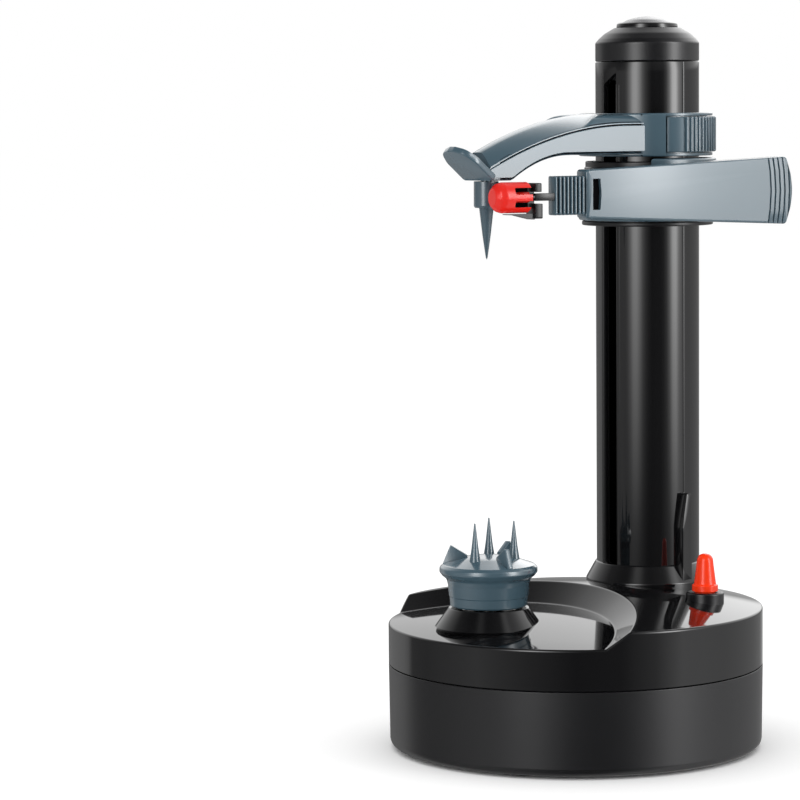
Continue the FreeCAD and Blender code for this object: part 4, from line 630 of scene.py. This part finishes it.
buildFeet()

# Column half shells, foot collar and cam rail
column = {
    "x": 38.8, "radius": 20.2, "wall": 2.4, "bottom": 48, "top": 264.6, "seam": 0.35,
    "slotHalf": 3.4, "slotLow": 68.0, "slotHigh": 258.0, "slotLean": 4.6,
    "beads": (3.75, 4.9), "beadRadius": 0.2,
    "collar": [(20.2, 52), (23.6, 53.5), (24.4, 62.4, 0.9), (20.75, 68.9, 0.7), (20.2, 69.2)],
    "cam": [
        (-3.7, 62.8), (1.3, 62.8), (1.3, 97.3, 1.2), (-1.5, 97.3, 1.0),
        (-2.3, 93, 8), (-3.2, 88, 8), (-3.7, 84, 6),
    ],
    "camReach": (-23.7, -19.4),
}


def buildColumn():
    c = column
    radius = c["radius"]
    edge = math.degrees(math.asin(c["slotHalf"] / radius))
    for node, start in (("column_front_shell", 90), ("column_rear_shell", 270)):
        front = start == 90
        angles = [start + 180 * i / 96 for i in range(97)]
        if front:
            angles = [a for a in angles if abs(a - 180) > edge + 0.6]
            angles += [180 + edge * i / 4 for i in range(-4, 5)]
            angles.sort()
        points = []
        for a in angles:
            y = max(-1, min(1, -radius * math.sin(math.radians(a)) / c["slotHalf"]))
            lean = 0.5 * c["slotLean"] * y
            x = radius * math.cos(math.radians(a))
            z = radius * math.sin(math.radians(a))
            points += [(x, z, h) for h in (c["bottom"], c["slotLow"] - lean, c["slotHigh"] + lean, c["top"])]
        faces = []
        for i in range(len(angles) - 1):
            middle = 0.5 * (angles[i] + angles[i + 1])
            for band in range(3):
                if front and band == 1 and abs(middle - 180) < edge:
                    continue
                faces.append((i * 4 + band, (i + 1) * 4 + band, (i + 1) * 4 + band + 1, i * 4 + band + 1))
        shell = makeObject(node + "Piece", points, faces)
        thick = shell.modifiers.new("thick", "SOLIDIFY")
        thick.thickness = c["wall"] * mm
        thick.offset = -1
        thick.use_even_offset = True
        bake(shell)
        soften(shell, c["seam"], 2, 50)
        if front:
            beads = [shell]
            for side in (-1, 1):
                for out in c["beads"]:
                    lean = 0.5 * c["slotLean"] * side
                    low, high = c["slotLow"] - lean, c["slotHigh"] + lean
                    bead = rod("slotBead", c["beadRadius"], low, high, steps=12)
                    y = side * out
                    beads.append(shift(bead, -math.sqrt(radius ** 2 - y ** 2) + 0.05, y, 0))
            shell = join(node + "Piece", beads)
        install(shift(shell, c["x"], 0, 0), node)
    collar = lathe("columnCollar", c["collar"], steps=160)
    install(shift(collar, c["x"], 0, 0), "column_collar")
    cam = prism("swingCam", c["cam"], *c["camReach"], "y")
    soften(cam, 0.35, 2)
    install(shift(cam, c["x"], 0, 0), "swing_cam")


buildColumn()
print("column built")

# Cap and power button
cap = {
    "x": column["x"], "faceRadius": 9.9, "faceLow": 279,
    "shell": [
        (18, 264.8), (19.85, 264.8), (20.2, 265.2), (20.2, 272.0, 1.3), (18.9, 273.5, 3), (16.6, 275.6, 6),
        (12.6, 277.9, 0.5), (12.3, 277.4), (12.3, 275.6), (16.0, 273.5), (18, 270),
    ],
    "button": [
        (0, 282.3), (3.2, 282.05, 6), (7.4, 281.1, 9), (10.0, 279.7, 0.3), (10.4, 279.5), (10.7, 279.9, 0.25),
        (11.7, 279.4, 0.5), (11.9, 278.3, 0.3), (11.9, 272.2), (10.4, 272.2), (10.4, 277.6), (2.5, 277.6),
        (2.5, 270.4), (0, 270.4),
    ],
}


def buildCap():
    install(shift(lathe("columnCap", cap["shell"], arcSteps=6), cap["x"], 0, 0), "column_cap")
    button = lathe("powerButton", cap["button"], closed=False, arcSteps=8)
    install(shift(button, cap["x"], 0, 0), "power_button")

    def aroundFace(p):
        return math.hypot(p.x - cap["x"], p.y) > cap["faceRadius"] or p.z < cap["faceLow"]

    paint(button, "gloss_black", aroundFace)


buildCap()
print("cap built")

# Thumb knife and its socket
knife = {
    "x": lid["knife"][0], "y": lid["knife"][1],
    "cover": [
        (0, 57), (3.9, 57), (3.9, 62.2), (5.0, 62.25, 0.3), (4.95, 64.7, 0.4), (4.25, 65.0, 0.2),
        (3.3, 72.2, 8), (3.12, 74.0), (2.95, 74.9), (2.5, 75.75), (1.8, 76.35), (0.9, 76.68), (0, 76.75),
    ],
}


def buildKnife():
    x, y = knife["x"], knife["y"]
    land = landHeight(x, y)
    socket = [
        (4.25, land - 3), (7.2, land - 3), (7.2, land + 0.3),
        (7.25, 61.6, 0.6), (6.6, 62.0, 0.4), (4.3, 61.8, 0.3),
    ]
    install(shift(lathe("knifeSocket", socket, steps=96), x, y, 0), "knife_socket")
    cover = lathe("thumbKnife", knife["cover"], closed=False, steps=96, arcSteps=12)
    install(shift(cover, x, y, 0), "thumb_knife")


buildKnife()

# Food holder with prongs and fins
holder = {"x": -44.1, "prongs": (-42, 48, 198), "ring": 9.7, "fins": (18, 138, 258)}


def buildHolder():
    cup = lathe(
        "holderCup",
        [
            (4.1, 59.0), (14.3, 59.0, 0.5), (14.75, 59.6, 0.3), (14.95, 62.7, 0.2), (15.15, 63.1, 0.3),
            (15.5, 67.4, 6), (16.1, 69.6, 2), (17.6, 70.8, 1.2), (18.7, 72.2, 0.9), (18.6, 73.9, 1.0),
            (17.5, 74.9, 0.8), (14.5, 75.9, 8), (9, 77.7, 14), (0, 78.6), (0, 70.0), (4.1, 70.0),
        ],
        closed=True,
        steps=160,
    )
    pieces = [cup]
    for angle in holder["prongs"]:
        a = math.radians(angle)
        prong = lathe(
            "prong",
            [(0, 73), (2.35, 73), (2.2, 76.4, 2), (1.35, 81.8), (0.28, 91.2, 0.2), (0, 91.5)],
            closed=False,
            steps=32,
        )
        pieces.append(shift(prong, holder["ring"] * math.cos(a), holder["ring"] * math.sin(a), 0))
    for angle in holder["fins"]:
        fin = prism(
            "fin",
            [(7.6, 74.5), (17.3, 74.2), (17.2, 75.6, 0.4), (14.4, 82.3, 0.5), (8.0, 78.4, 0.5)],
            -1.1,
            1.1,
            "y",
        )
        soften(fin, 0.22, 2)
        pieces.append(move(fin, Matrix.Rotation(math.radians(angle), 4, "Z")))
    install(shift(join("foodHolder", pieces), holder["x"], 0, 0), "food_holder")


buildHolder()
print("holder built")

# Clamp arm: ring, curved arm, finger tab
arm = {
    "bottom": 228.2, "top": 244.8, "bore": 20.5, "outer": 26.8, "front": 124.4, "tipX": -48.5, "flatX": -39.5,
    "rootX": 20.0, "tipHalf": 8.0, "rootHalf": 18.9, "tipBottom": 220.2, "groove": 0.6,
    "under": 229.3, "underBow": 0.0145, "underStart": -14,
    "edge": 241.1, "edgeBow": 0.0043, "ridge": 244.6, "ridgeBow": 0.0038, "bowStart": 12,
    "shoulder": -8, "shoulderLean": 15, "tabLean": 38.5, "tabDepth": 2.6,
    "tab": [
        (-8.7, -0.6, 0.6), (8.7, -0.6, 0.6), (8.7, 10.0, 7), (6.4, 15.6, 5),
        (1.5, 17.3, 3), (-1.5, 17.3, 3), (-6.4, 15.6, 5), (-8.7, 10.0, 7),
    ],
}


def armHeights(x):
    bottom = arm["under"] - arm["underBow"] * max(0, arm["underStart"] - x) ** 2
    bow = max(0, arm["bowStart"] - x) ** 2
    edge = arm["edge"] - arm["edgeBow"] * bow
    ridge = arm["ridge"] - arm["ridgeBow"] * bow
    share = (x - arm["tipX"]) / (arm["rootX"] - arm["tipX"])
    half = arm["tipHalf"] + (arm["rootHalf"] - arm["tipHalf"]) * share
    return max(bottom, arm["tipBottom"]), edge, ridge, half


def armRing(x):
    # one closed cross-section, right side then its mirror
    bottom, edge, ridge, half = armHeights(x)
    floor = half - arm["groove"] - 0.2
    side = [
        (0.0, bottom), (half - 1.0, bottom), (half - 0.5, bottom + 0.15), (half - 0.25, bottom + 0.4),
        (floor, bottom + 0.55), (floor, bottom + 0.9), (half - 0.1, bottom + 1.0),
        (half, bottom + 1.15), (half, edge - 1.1), (half - 0.1, edge - 0.95), (floor, edge - 0.85),
        (floor, edge - 0.45), (half - 0.2, edge - 0.3), (half - 0.25, edge), (half - 0.7, edge + 0.25),
    ]
    bandSteps = 16
    start = side[-1]
    for i in range(1, bandSteps + 1):
        share = (i / bandSteps) ** 1.6
        y = start[0] + (2.4 - start[0]) * share
        shoulder = max(0, min(1, (x - arm["shoulder"] - arm["shoulderLean"] * share) / 4.5))
        shoulder = shoulder * shoulder * (3 - 2 * shoulder)
        soft = 1 - (1 - share) ** 1.25
        steep = 1 - (1 - share) ** 7
        side.append((y, start[1] + (ridge - start[1]) * (soft + (steep - soft) * shoulder)))
    side.append((0.0, ridge + 0.12))
    left = [(x, y, z) for y, z in side]
    right = [(x, -y, z) for y, z in reversed(side[1:-1])]
    return left + right


def buildArm():
    a = arm
    low, high, bore = a["bottom"], a["top"], a["bore"]
    sleeve = [
        (bore, low, 0.3), (25.4, low, 0.3), (25.4, low + 1.2, 0.2), (23.4, low + 1.2),
        (23.4, high - 1.2), (25.4, high - 1.2, 0.2), (25.4, high, 0.4), (bore, high, 0.4),
    ]
    wrap = [(bore + 0.4, low), (a["outer"], low, 0.7), (a["outer"], high, 0.9), (bore + 0.4, high)]
    front = lathe("clampFront", wrap, steps=90, start=180 - a["front"] / 2, sweep=a["front"])
    ring = shift(join("ring", [lathe("clampSleeve", sleeve, steps=180), front]), column["x"], 0, 0)
    stations = [a["tipX"], -46.5, -44, -41.5, a["flatX"]]
    stations += spread(-38.5, -10, 1.6) + spread(-10, a["rootX"], 0.8) + [a["rootX"]]
    span = skin("armSpan", [armRing(x) for x in stations], sharp=28)
    keyPiece = block("clampKey", (17.8, -3.1, 230.5), (21.1, 3.1, 242.8))
    tab = prism("fingerTab", a["tab"], 0, a["tabDepth"], arcSteps=8)
    soften(tab, 0.7, 3)
    lean = Matrix.Rotation(math.radians(a["tabLean"]), 4, "Y") @ Matrix.Rotation(math.radians(90), 4, "Z")
    tab = shift(move(tab, lean), a["tipX"], 0, a["tipBottom"] + 0.4)
    piece = join("clampArm", [ring, span, keyPiece, tab], 28)
    install(piece, "clamp_arm")

    # the floors of the side grooves are painted dull black: painted shade in the grooves
    def grooveShadeFaces(p):
        floor = armHeights(p.x)[3] - a["groove"] - 0.2
        return a["flatX"] - 4 < p.x < a["rootX"] and abs(abs(p.y) - floor) < 0.05

    paint(piece, "painted_shade_black", grooveShadeFaces)


buildArm()
print("clamp arm built")

# Release pad with fine upright ribs
pad = {
    "bottom": 229.7, "top": 243.3, "inner": 24.3, "smooth": 25.8, "rib": 26.75,
    "end": 115.6, "ribEnd": 99.7, "ribs": 42, "bevel": 0.35,
}


def buildPad():
    path = []
    smooth, rib = pad["smooth"], pad["rib"]
    angles = [-pad["end"] + (pad["end"] - pad["ribEnd"]) * i / 8 for i in range(8)]
    ramp = [smooth - 0.3] + [smooth + (rib - smooth) * i / len(angles) for i in range(1, len(angles))]
    path += list(zip(ramp, angles))
    pitch = 2 * pad["ribEnd"] / pad["ribs"]
    for i in range(pad["ribs"]):
        first = -pad["ribEnd"] + i * pitch
        for share, radius in ((0.0, smooth), (0.1, smooth + 0.1), (0.2, rib - 0.12), (0.32, rib), (0.5, rib),
                              (0.62, rib - 0.12), (0.72, smooth + 0.1), (0.82, smooth)):
            path.append((radius, first + share * pitch))
    path += [(r, -a) for r, a in reversed(list(zip(ramp, angles)))]
    count = len(path)
    outer = [polar(r, a) for r, a in path]
    inner = [polar(pad["inner"], a) for r, a in path]
    points = []
    low, high, bevel = pad["bottom"], pad["top"], pad["bevel"]
    levels = ((low, bevel), (low + bevel, 0), (high - bevel, 0), (high, bevel))
    for z, inset in levels:
        for (x, y) in outer:
            scale = 1 - inset / math.hypot(x, y)
            points.append((x * scale, y * scale, z))
    for z in (low, high):
        points += [(x, y, z) for x, y in inner]
    faces = []
    for i in range(count - 1):
        for level in range(3):
            low = level * count
            faces.append((low + i, low + i + 1, low + count + i + 1, low + count + i))
        top, innerLow, innerHigh = 3 * count, 4 * count, 5 * count
        faces.append((i, innerLow + i, innerLow + i + 1, i + 1))
        faces.append((top + i, top + i + 1, innerHigh + i + 1, innerHigh + i))
        faces.append((innerLow + i, innerHigh + i, innerHigh + i + 1, innerLow + i + 1))
    for i in (0, count - 1):
        faces.append((i, count + i, 2 * count + i, 3 * count + i, 5 * count + i, 4 * count + i))
    install(shift(makeObject("releasePad", points, faces, 30), column["x"], 0, 0), "clamp_release")


buildPad()
print("release pad built")

# Free spike under the arm's tip
spike = {
    "x": holder["x"],
    "outline": [
        (0, 190.4), (0.35, 191.2, 0.3), (1.55, 199.5, 20), (2.7, 209.4, 0.8), (2.85, 209.9),
        (4.3, 209.95, 0.3), (4.75, 210.6, 0.5), (4.7, 219.9, 0.2), (2.0, 219.9), (2.0, 227.4), (0, 227.4),
    ],
}


def buildSpike():
    piece = lathe("topSpike", spike["outline"], closed=False, steps=96)
    install(shift(piece, spike["x"], 0, 0), "top_spike")


buildSpike()

# Carriage ring
carriage = {"x": column["x"], "bore": 20.5, "outer": 24.6, "bottom": 201.3, "top": 226.2}


def buildCarriage():
    c = carriage
    ring = lathe(
        "carriageRing",
        [(c["bore"], c["bottom"], 0.3), (25.6, c["bottom"], 0.5), (25.6, c["bottom"] + 1.6, 0.4),
         (c["outer"], c["bottom"] + 1.7), (c["outer"], c["top"] - 2.6), (24.2, c["top"] - 2.2, 0.3),
         (24.2, c["top"], 0.5), (c["bore"], c["top"], 0.4)],
        steps=160,
    )
    install(shift(ring, c["x"], 0, 0), "carriage_ring")


buildCarriage()

# Swinging lever and blade cartridge, drawn along the lever
lever = {
    "left": 35.9, "right": 124.5, "lowLeft": 205.4, "highLeft": 223.8, "lowRight": 201.4, "highRight": 227.6,
    "depth": 8.0, "front": 12.6, "axisBack": 32.0, "ring": 26.8, "bore": 24.9, "ringLow": 203.3,
    "ringHigh": 227.4, "grooves": 5, "grooveStart": 115.4, "groovePitch": 2.1,
    "swellAlong": 58, "swellUp": 214.5, "swellReach": (0.6, 0.6),
}
axisGap = column["x"] - holder["x"]
leverTurn = math.asin((lever["axisBack"] - lever["front"]) / axisGap)
leverFront = Vector((math.sin(leverTurn), math.cos(leverTurn), 0)) * lever["front"]
leverStart = Vector((holder["x"], 0, 0)) - leverFront
leverMatrix = Matrix.Translation(leverStart * mm) @ Matrix.Rotation(-leverTurn, 4, "Z")


def buildLever():
    v = lever
    along = axisGap * math.cos(leverTurn)
    plate = prism(
        "leverPlate",
        [(v["left"], v["lowLeft"], 1.2), (v["right"], v["lowRight"], 1.6), (v["right"] + 2.2, 208.2, 14),
         (v["right"] + 3.0, 214.5, 30), (v["right"] + 2.2, 220.8, 14), (v["right"], v["highRight"], 1.6),
         (v["left"], v["highLeft"], 1.2)],
        0,
        v["depth"],
        "y",
        arcSteps=8,
    )
    soften(plate, 0.9, 4, 50)
    low, high = v["ringLow"], v["ringHigh"]
    outline = [(v["bore"], low, 0.3), (v["ring"], low, 0.6), (v["ring"], high, 0.8), (v["bore"], high, 0.4)]
    ring = lathe("leverRing", outline, steps=160)
    shift(ring, along, v["axisBack"], 0)
    notch = block("notch", (along - 27.8, v["depth"], 222.4), (along - 1, 70, 240))
    carve(ring, [notch])
    way = rod("way", v["bore"], 190, 240, steps=160)
    room = [(v["left"] - 2, 208.3), (46.9, 208.3), (46.9, 220.7), (v["left"] - 2, 220.7)]
    window = [(38.8, 208.6), (42.0, 208.6), (42.5, 214.5, 12), (42.0, 220.4), (38.8, 220.4)]
    cutters = [
        shift(way, along, v["axisBack"], 0),
        prism("room", room, 1.7, 6.3, "y"),
        prism("window", window, -2, 3, "y"),
    ]
    for i in range(v["grooves"]):
        x = v["grooveStart"] + v["groovePitch"] * i
        groove = [
            (x, 200), (x + 0.75, 200), (x + 1.9, 207), (x + 2.35, 214.5), (x + 1.9, 222), (x + 0.75, 229),
            (x, 229), (x + 1.15, 222), (x + 1.6, 214.5), (x + 1.15, 207),
        ]
        cutters.append(prism("groove", groove, -2, 0.55, "y"))
    carve(plate, cutters, sharp=30)
    piece = join("cutterLever", [plate, ring], 30)
    holdFlat(piece, 150)
    install(move(piece, leverMatrix), "cutter_lever")
    centre = leverMatrix @ (Vector((v["swellAlong"], 0, v["swellUp"])) * mm)
    swell = {"centre": centre, "turn": -leverTurn, "reach": v["swellReach"]}
    piece.data.materials[0] = makeMaterial("leverFace", {**looks["slate_plastic"], "swell": swell})


buildLever()
print("lever built")

# Ribbed grip, rod, red head, blade frame and blade
cutter = {
    "axis": 213.9, "back": 1.0, "gripLow": 206.9, "gripHigh": 221.6, "gripFront": -0.8, "gripBack": 5.0,
    "ribStart": 24.1, "ribPitch": 1.64, "gaps": ((1.2, 3.7), (-3.6, -1.2)),
}


def buildCartridge():
    z = cutter["axis"]
    y = cutter["back"]
    low, high = cutter["gripLow"], cutter["gripHigh"]
    front, back = cutter["gripFront"], cutter["gripBack"]
    outline = [(front, low, 0.8), (back, low, 0.8), (back, high, 0.8), (front, high, 0.8)]
    pieces = [soften(prism("gripEnd", outline, 22.3, 23.2, "x"), 0.25, 2)]
    pieces.append(block("gripCore", (23.1, front + 0.9, low + 0.9), (35.6, back - 0.8, high - 0.9)))
    x = cutter["ribStart"]
    while x < 35:
        pieces.append(soften(prism("gripRib", outline, x, x + 0.85, "x"), 0.2, 2))
        x += cutter["ribPitch"]
    pieces.append(block("tongue", (35.3, 2.1, 208.8), (44.4, back + 0.1, 220.2)))
    grip = join("bladeGrip", pieces)
    install(grip, "blade_grip")
    # the tongue behind the lever's window and the core between the ribs are painted dull black: painted shade
    paint(grip, "painted_shade_black", lambda p: p.x > 35.35 or (p.x > 23.15 and front + 0.85 < p.y < front + 0.95))
    move(grip, leverMatrix)
    bar = block("rodBar", (13.9, y - 1.4, z - 1.4), (22.4, y + 1.4, z + 1.4))
    soften(bar, 0.25, 2)
    pin = shift(rod("rodPin", 1.2, 3.0, 14, "x"), 0, y, z)
    rodPiece = move(join("bladeRod", [bar, pin]), leverMatrix)
    install(rodPiece, "blade_rod")
    rodPiece.data.materials[0] = materials["satin_black"]
    turn = Matrix.Rotation(math.radians(90), 4, "Y")
    barrel = lathe(
        "headBarrel",
        [(0, -3.5), (3.4, -3.5, 1.2), (5.2, -1.9, 2.5), (5.8, 0.2, 3), (5.8, 10.9, 0.5), (4.6, 10.9, 0.3),
         (4.5, 2.8, 0.5), (1.25, 2.7), (0, 2.7)],
        closed=False,
        steps=96,
    )
    move(barrel, turn)
    shift(barrel, 0, y, z)
    hub = shift(rod("headHub", 2.0, 2.7, 11.6, "x"), 0, y, z)
    carve(hub, [shift(rod("pinWay", 1.27, 2, 20, "x"), 0, y, z)])
    cutters = []
    for low, high in cutter["gaps"]:
        gap = [(3.6, z + low, 0.6), (20, z + low), (20, z + high), (3.6, z + high, 0.6)]
        cutters.append(prism("gap", gap, y - 8, y - 1, "y"))
    cutters += [
        block("backCut", (8.6, y + 3.0, z - 9), (20, y + 9, z + 9)),
        block("bladeWindow", (0.5, y + 2.4, z - 3.5), (8.0, y + 9, z + 3.5)),
    ]
    carve(barrel, cutters)
    # a sheet inside the head, in front of the blade, painted dull black: painted shade for the head's hollow
    # inside
    shadeSheet = block("headShadeSheet", (2.9, y + 2.4, z - 4.0), (12.8, y + 3.2, z + 4.0))
    head = join("bladeHead", [barrel, hub, shadeSheet])
    install(head, "blade_head")
    paint(head, "painted_shade_black", lambda p: y + 2.35 < p.y < y + 3.25 and p.x > 2.85 and abs(p.z - z) < 4.05)
    move(head, leverMatrix)
    near, far = y - 3.2, y + 3.4
    upper = [(near, z + 2.0, 0.3), (far, z + 2.0), (far, z + 5.3, 0.5), (near, z + 5.3, 0.6)]
    under = [(near, z - 8.0, 0.6), (far, z - 8.0, 0.5), (far, z - 2.4), (near, z - 2.4, 0.3)]
    guard = [
        (1.8, z - 6.15, 0.15), (1.8, z - 6.45, 0.15), (5.2, z - 6.6, 1),
        (12.2, z - 8.3, 0.3), (13.4, z - 8.3), (13.4, z - 6.1),
    ]
    jaws = [
        prism("jawUpper", upper, 13.0, 15.8, "x"),
        prism("jawLower", under, 13.0, 16.2, "x"),
        block("jawBack", (13.0, y + 3.0, z - 7.8), (15.8, y + 4.2, z + 5.2)),
        prism("guard", guard, y - 2.0, y + 1.9, "y"),
    ]
    for piece in jaws[:2]:
        soften(piece, 0.2, 2)
    install(move(join("bladeFrame", jaws), leverMatrix), "blade_frame")
    strip = block("bladeStrip", (0, y + 3.6, z - 3.5), (8, y + 4.1, z + 3.5))
    carve(strip, [block("slit", (0.8, y, z - 0.4), (7.2, y + 6, z + 0.4))])
    install(move(strip, leverMatrix), "peeling_blade")


buildCartridge()
print("cartridge built")

# Camera
camera = {
    "place": (-887.07, -985.19, 250.8), "yaw": -0.0508, "pitch": 0.0871, "roll": -0.0081, "turn": 42,
    "lens": 3442 / 800 * 36,
}


def buildCamera():
    yaw, pitch, roll = camera["yaw"], camera["pitch"], camera["roll"]
    look = Vector((math.sin(yaw) * math.cos(pitch), math.cos(yaw) * math.cos(pitch), -math.sin(pitch)))
    right = Vector((math.cos(yaw), -math.sin(yaw), 0))
    up = right.cross(look)
    side = math.cos(roll) * right + math.sin(roll) * up
    top = -math.sin(roll) * right + math.cos(roll) * up
    frameTurn = Matrix.Rotation(math.radians(-camera["turn"]), 3, "Z")
    look, side, top = (frameTurn @ v for v in (look, side, top))
    data = bpy.data.cameras.new("photoCamera")
    data.sensor_width = 36
    data.lens = camera["lens"]
    data.clip_start = 0.05
    data.clip_end = 60
    eye = bpy.data.objects.new("photoCamera", data)
    matrix = Matrix((side, top, -look)).transposed().to_4x4()
    matrix.translation = Vector(camera["place"]) * mm
    eye.matrix_world = matrix
    bpy.context.scene.collection.objects.link(eye)
    bpy.context.scene.camera = eye


buildCamera()

# Floor, backdrop and lights
stage = {"floorColor": (1.0, 1.0, 1.0), "floorReach": 15000, "skyLight": 1.0}
# What shiny surfaces see: near, strips and high by bearing, in degrees right of the camera's side;
# stripFade, highStart and zenith by height; top is the brightest value
sky = {
    "near": [
        (-180, 0.4), (-168, 0.25), (-150, 0.45), (-130, 0.75), (-124, 0.7), (-119, 0.25), (-103, 0.28),
        (-62, 0.7), (-28, 0.3), (0, 0.06), (28, 0.1), (50, 0.5), (68, 1.4), (85, 1.2), (102, 0.9), (140, 0.5),
        (157, 0.4), (172, 0.8), (180, 0.4),
    ],
    "strips": [
        (-62, 0), (-52, 0.25), (-47, 0.9), (-40, 3.3), (-33, 7.4), (-26, 8.0), (-19, 5.2), (-12, 2.0),
        (-5.6, 0.8), (1, 0.3), (8, 0), (35, 0), (42, 0.6), (49, 3.2), (57, 10.4), (64.5, 10.8), (72.6, 3.4),
        (81, 1.0), (92, 0),
    ],
    "high": [
        (-180, 2.5), (-174, 2.0), (-150, 1.8), (-125, 1.1), (-95, 0.25), (-60, 0.12), (0, 0.2), (45, 0.5),
        (80, 1.3), (120, 2.2), (172, 3.4), (180, 2.5),
    ],
    "stripFade": [
        (-0.145, 0), (-0.125, 0.04), (-0.106, 0.18), (-0.075, 0.42), (-0.044, 0.7), (0, 1), (0.4, 1),
        (0.7, 0.15), (0.95, 0),
    ],
    "highStart": [(0.05, 0), (0.12, 0.55), (0.22, 0.7), (0.42, 1)],
    "zenith": [(0.62, 1), (0.8, 0.45), (0.95, 0.15)],
    "top": 11,
}


def buildStage():
    reach = stage["floorReach"]
    corners = [(-reach, -reach, 0), (reach, -reach, 0), (reach, reach, 0), (-reach, reach, 0)]
    floor = makeObject("floor", corners, [(0, 1, 2, 3)])
    material = bpy.data.materials.new("floorLook")
    material.use_nodes = True
    surface = material.node_tree.nodes["Principled BSDF"]
    surface.inputs["Base Color"].default_value = (*stage["floorColor"], 1)
    surface.inputs["Roughness"].default_value = 0.9
    surface.inputs["Specular IOR Level"].default_value = 0
    floor.data.materials.append(material)
    floor.visible_glossy = False


def buildSky():
    # white to the eye and to matt surfaces, a small studio to shiny ones
    world = bpy.data.worlds.new("studio")
    bpy.context.scene.world = world
    world.use_nodes = True
    world.cycles.sampling_method = "NONE"
    tree = world.node_tree
    nodes, links = tree.nodes, tree.links
    nodes.clear()

    def ramp(value, stops, low, high):
        # a ramp over low to high whose greys are shares of the brightest value
        node = nodes.new("ShaderNodeValToRGB")
        steps = node.color_ramp.elements
        steps.remove(steps[1])
        for index, (place, level) in enumerate(stops):
            share = (place - low) / (high - low)
            step = steps.new(share) if index else steps[0]
            step.position = share
            grey = level / sky["top"]
            step.color = (grey, grey, grey, 1)
        span = nodes.new("ShaderNodeMapRange")
        span.inputs["From Min"].default_value = low
        span.inputs["From Max"].default_value = high
        links.new(value, span.inputs["Value"])
        links.new(span.outputs["Result"], node.inputs["Fac"])
        return combine(tree, "MULTIPLY", node.outputs["Color"], sky["top"])

    where = nodes.new("ShaderNodeTexCoord")
    turn = nodes.new("ShaderNodeVectorRotate")
    turn.rotation_type = "Z_AXIS"
    turn.inputs["Angle"].default_value = math.radians(camera["turn"])
    split = nodes.new("ShaderNodeSeparateXYZ")
    links.new(where.outputs["Generated"], turn.inputs["Vector"])
    links.new(turn.outputs["Vector"], split.inputs["Vector"])
    bearing = combine(tree, "ARCTAN2", split.outputs["X"], combine(tree, "MULTIPLY", split.outputs["Y"], -1))
    bearing = combine(tree, "MULTIPLY", bearing, 180 / math.pi)
    height = split.outputs["Z"]
    near = ramp(bearing, sky["near"], -180, 180)
    high = ramp(bearing, sky["high"], -180, 180)
    strips = ramp(bearing, sky["strips"], -180, 180)
    fade = ramp(height, sky["stripFade"], -1, 1)
    lift = ramp(height, sky["highStart"], -1, 1)
    low = combine(tree, "MULTIPLY", near, combine(tree, "SUBTRACT", 1, lift))
    total = combine(tree, "ADD", low, combine(tree, "MULTIPLY", high, lift))
    total = combine(tree, "MULTIPLY", total, ramp(height, sky["zenith"], -1, 1))
    total = combine(tree, "ADD", total, combine(tree, "MULTIPLY", strips, fade))
    path = nodes.new("ShaderNodeLightPath")
    shiny = nodes.new("ShaderNodeBackground")
    plain = nodes.new("ShaderNodeBackground")
    plain.inputs["Color"].default_value = (1, 1, 1, 1)
    plain.inputs["Strength"].default_value = stage["skyLight"]
    choose = nodes.new("ShaderNodeMixShader")
    result = nodes.new("ShaderNodeOutputWorld")
    links.new(total, shiny.inputs["Strength"])
    links.new(path.outputs["Is Glossy Ray"], choose.inputs["Fac"])
    links.new(plain.outputs["Background"], choose.inputs[1])
    links.new(shiny.outputs["Background"], choose.inputs[2])
    links.new(choose.outputs["Shader"], result.inputs["Surface"])


def areaLight(name, place, target, size, energy, shadow=True):
    data = bpy.data.lights.new(name, "AREA")
    data.shape = "RECTANGLE"
    data.size, data.size_y = size
    data.energy = energy
    data.use_shadow = shadow
    light = bpy.data.objects.new(name, data)
    light.location = place
    light.rotation_euler = (Vector(target) - Vector(place)).to_track_quat("-Z", "Y").to_euler()
    light.visible_glossy = False
    bpy.context.scene.collection.objects.link(light)
    return light


def around(offset, distance, height):
    # a place seen from the column, offset degrees to the right of the camera's side
    angle = math.radians(228 + offset)
    return (0.0388 + distance * math.cos(angle), distance * math.sin(angle), height)


buildStage()
buildSky()
areaLight("leftBox", around(-24, 1.6, 0.25), (0.0388, 0, 0.17), (0.75, 0.9), 3)
areaLight("rightBox", around(64, 1.6, 0.25), (0.0388, 0, 0.17), (0.55, 0.9), 5)
areaLight("topBox", (0.0, 0.1, 1.6), (0, 0, 0), (1.6, 1.6), 6)
bpy.context.scene.view_settings.view_transform = "Standard"
print("stage built")
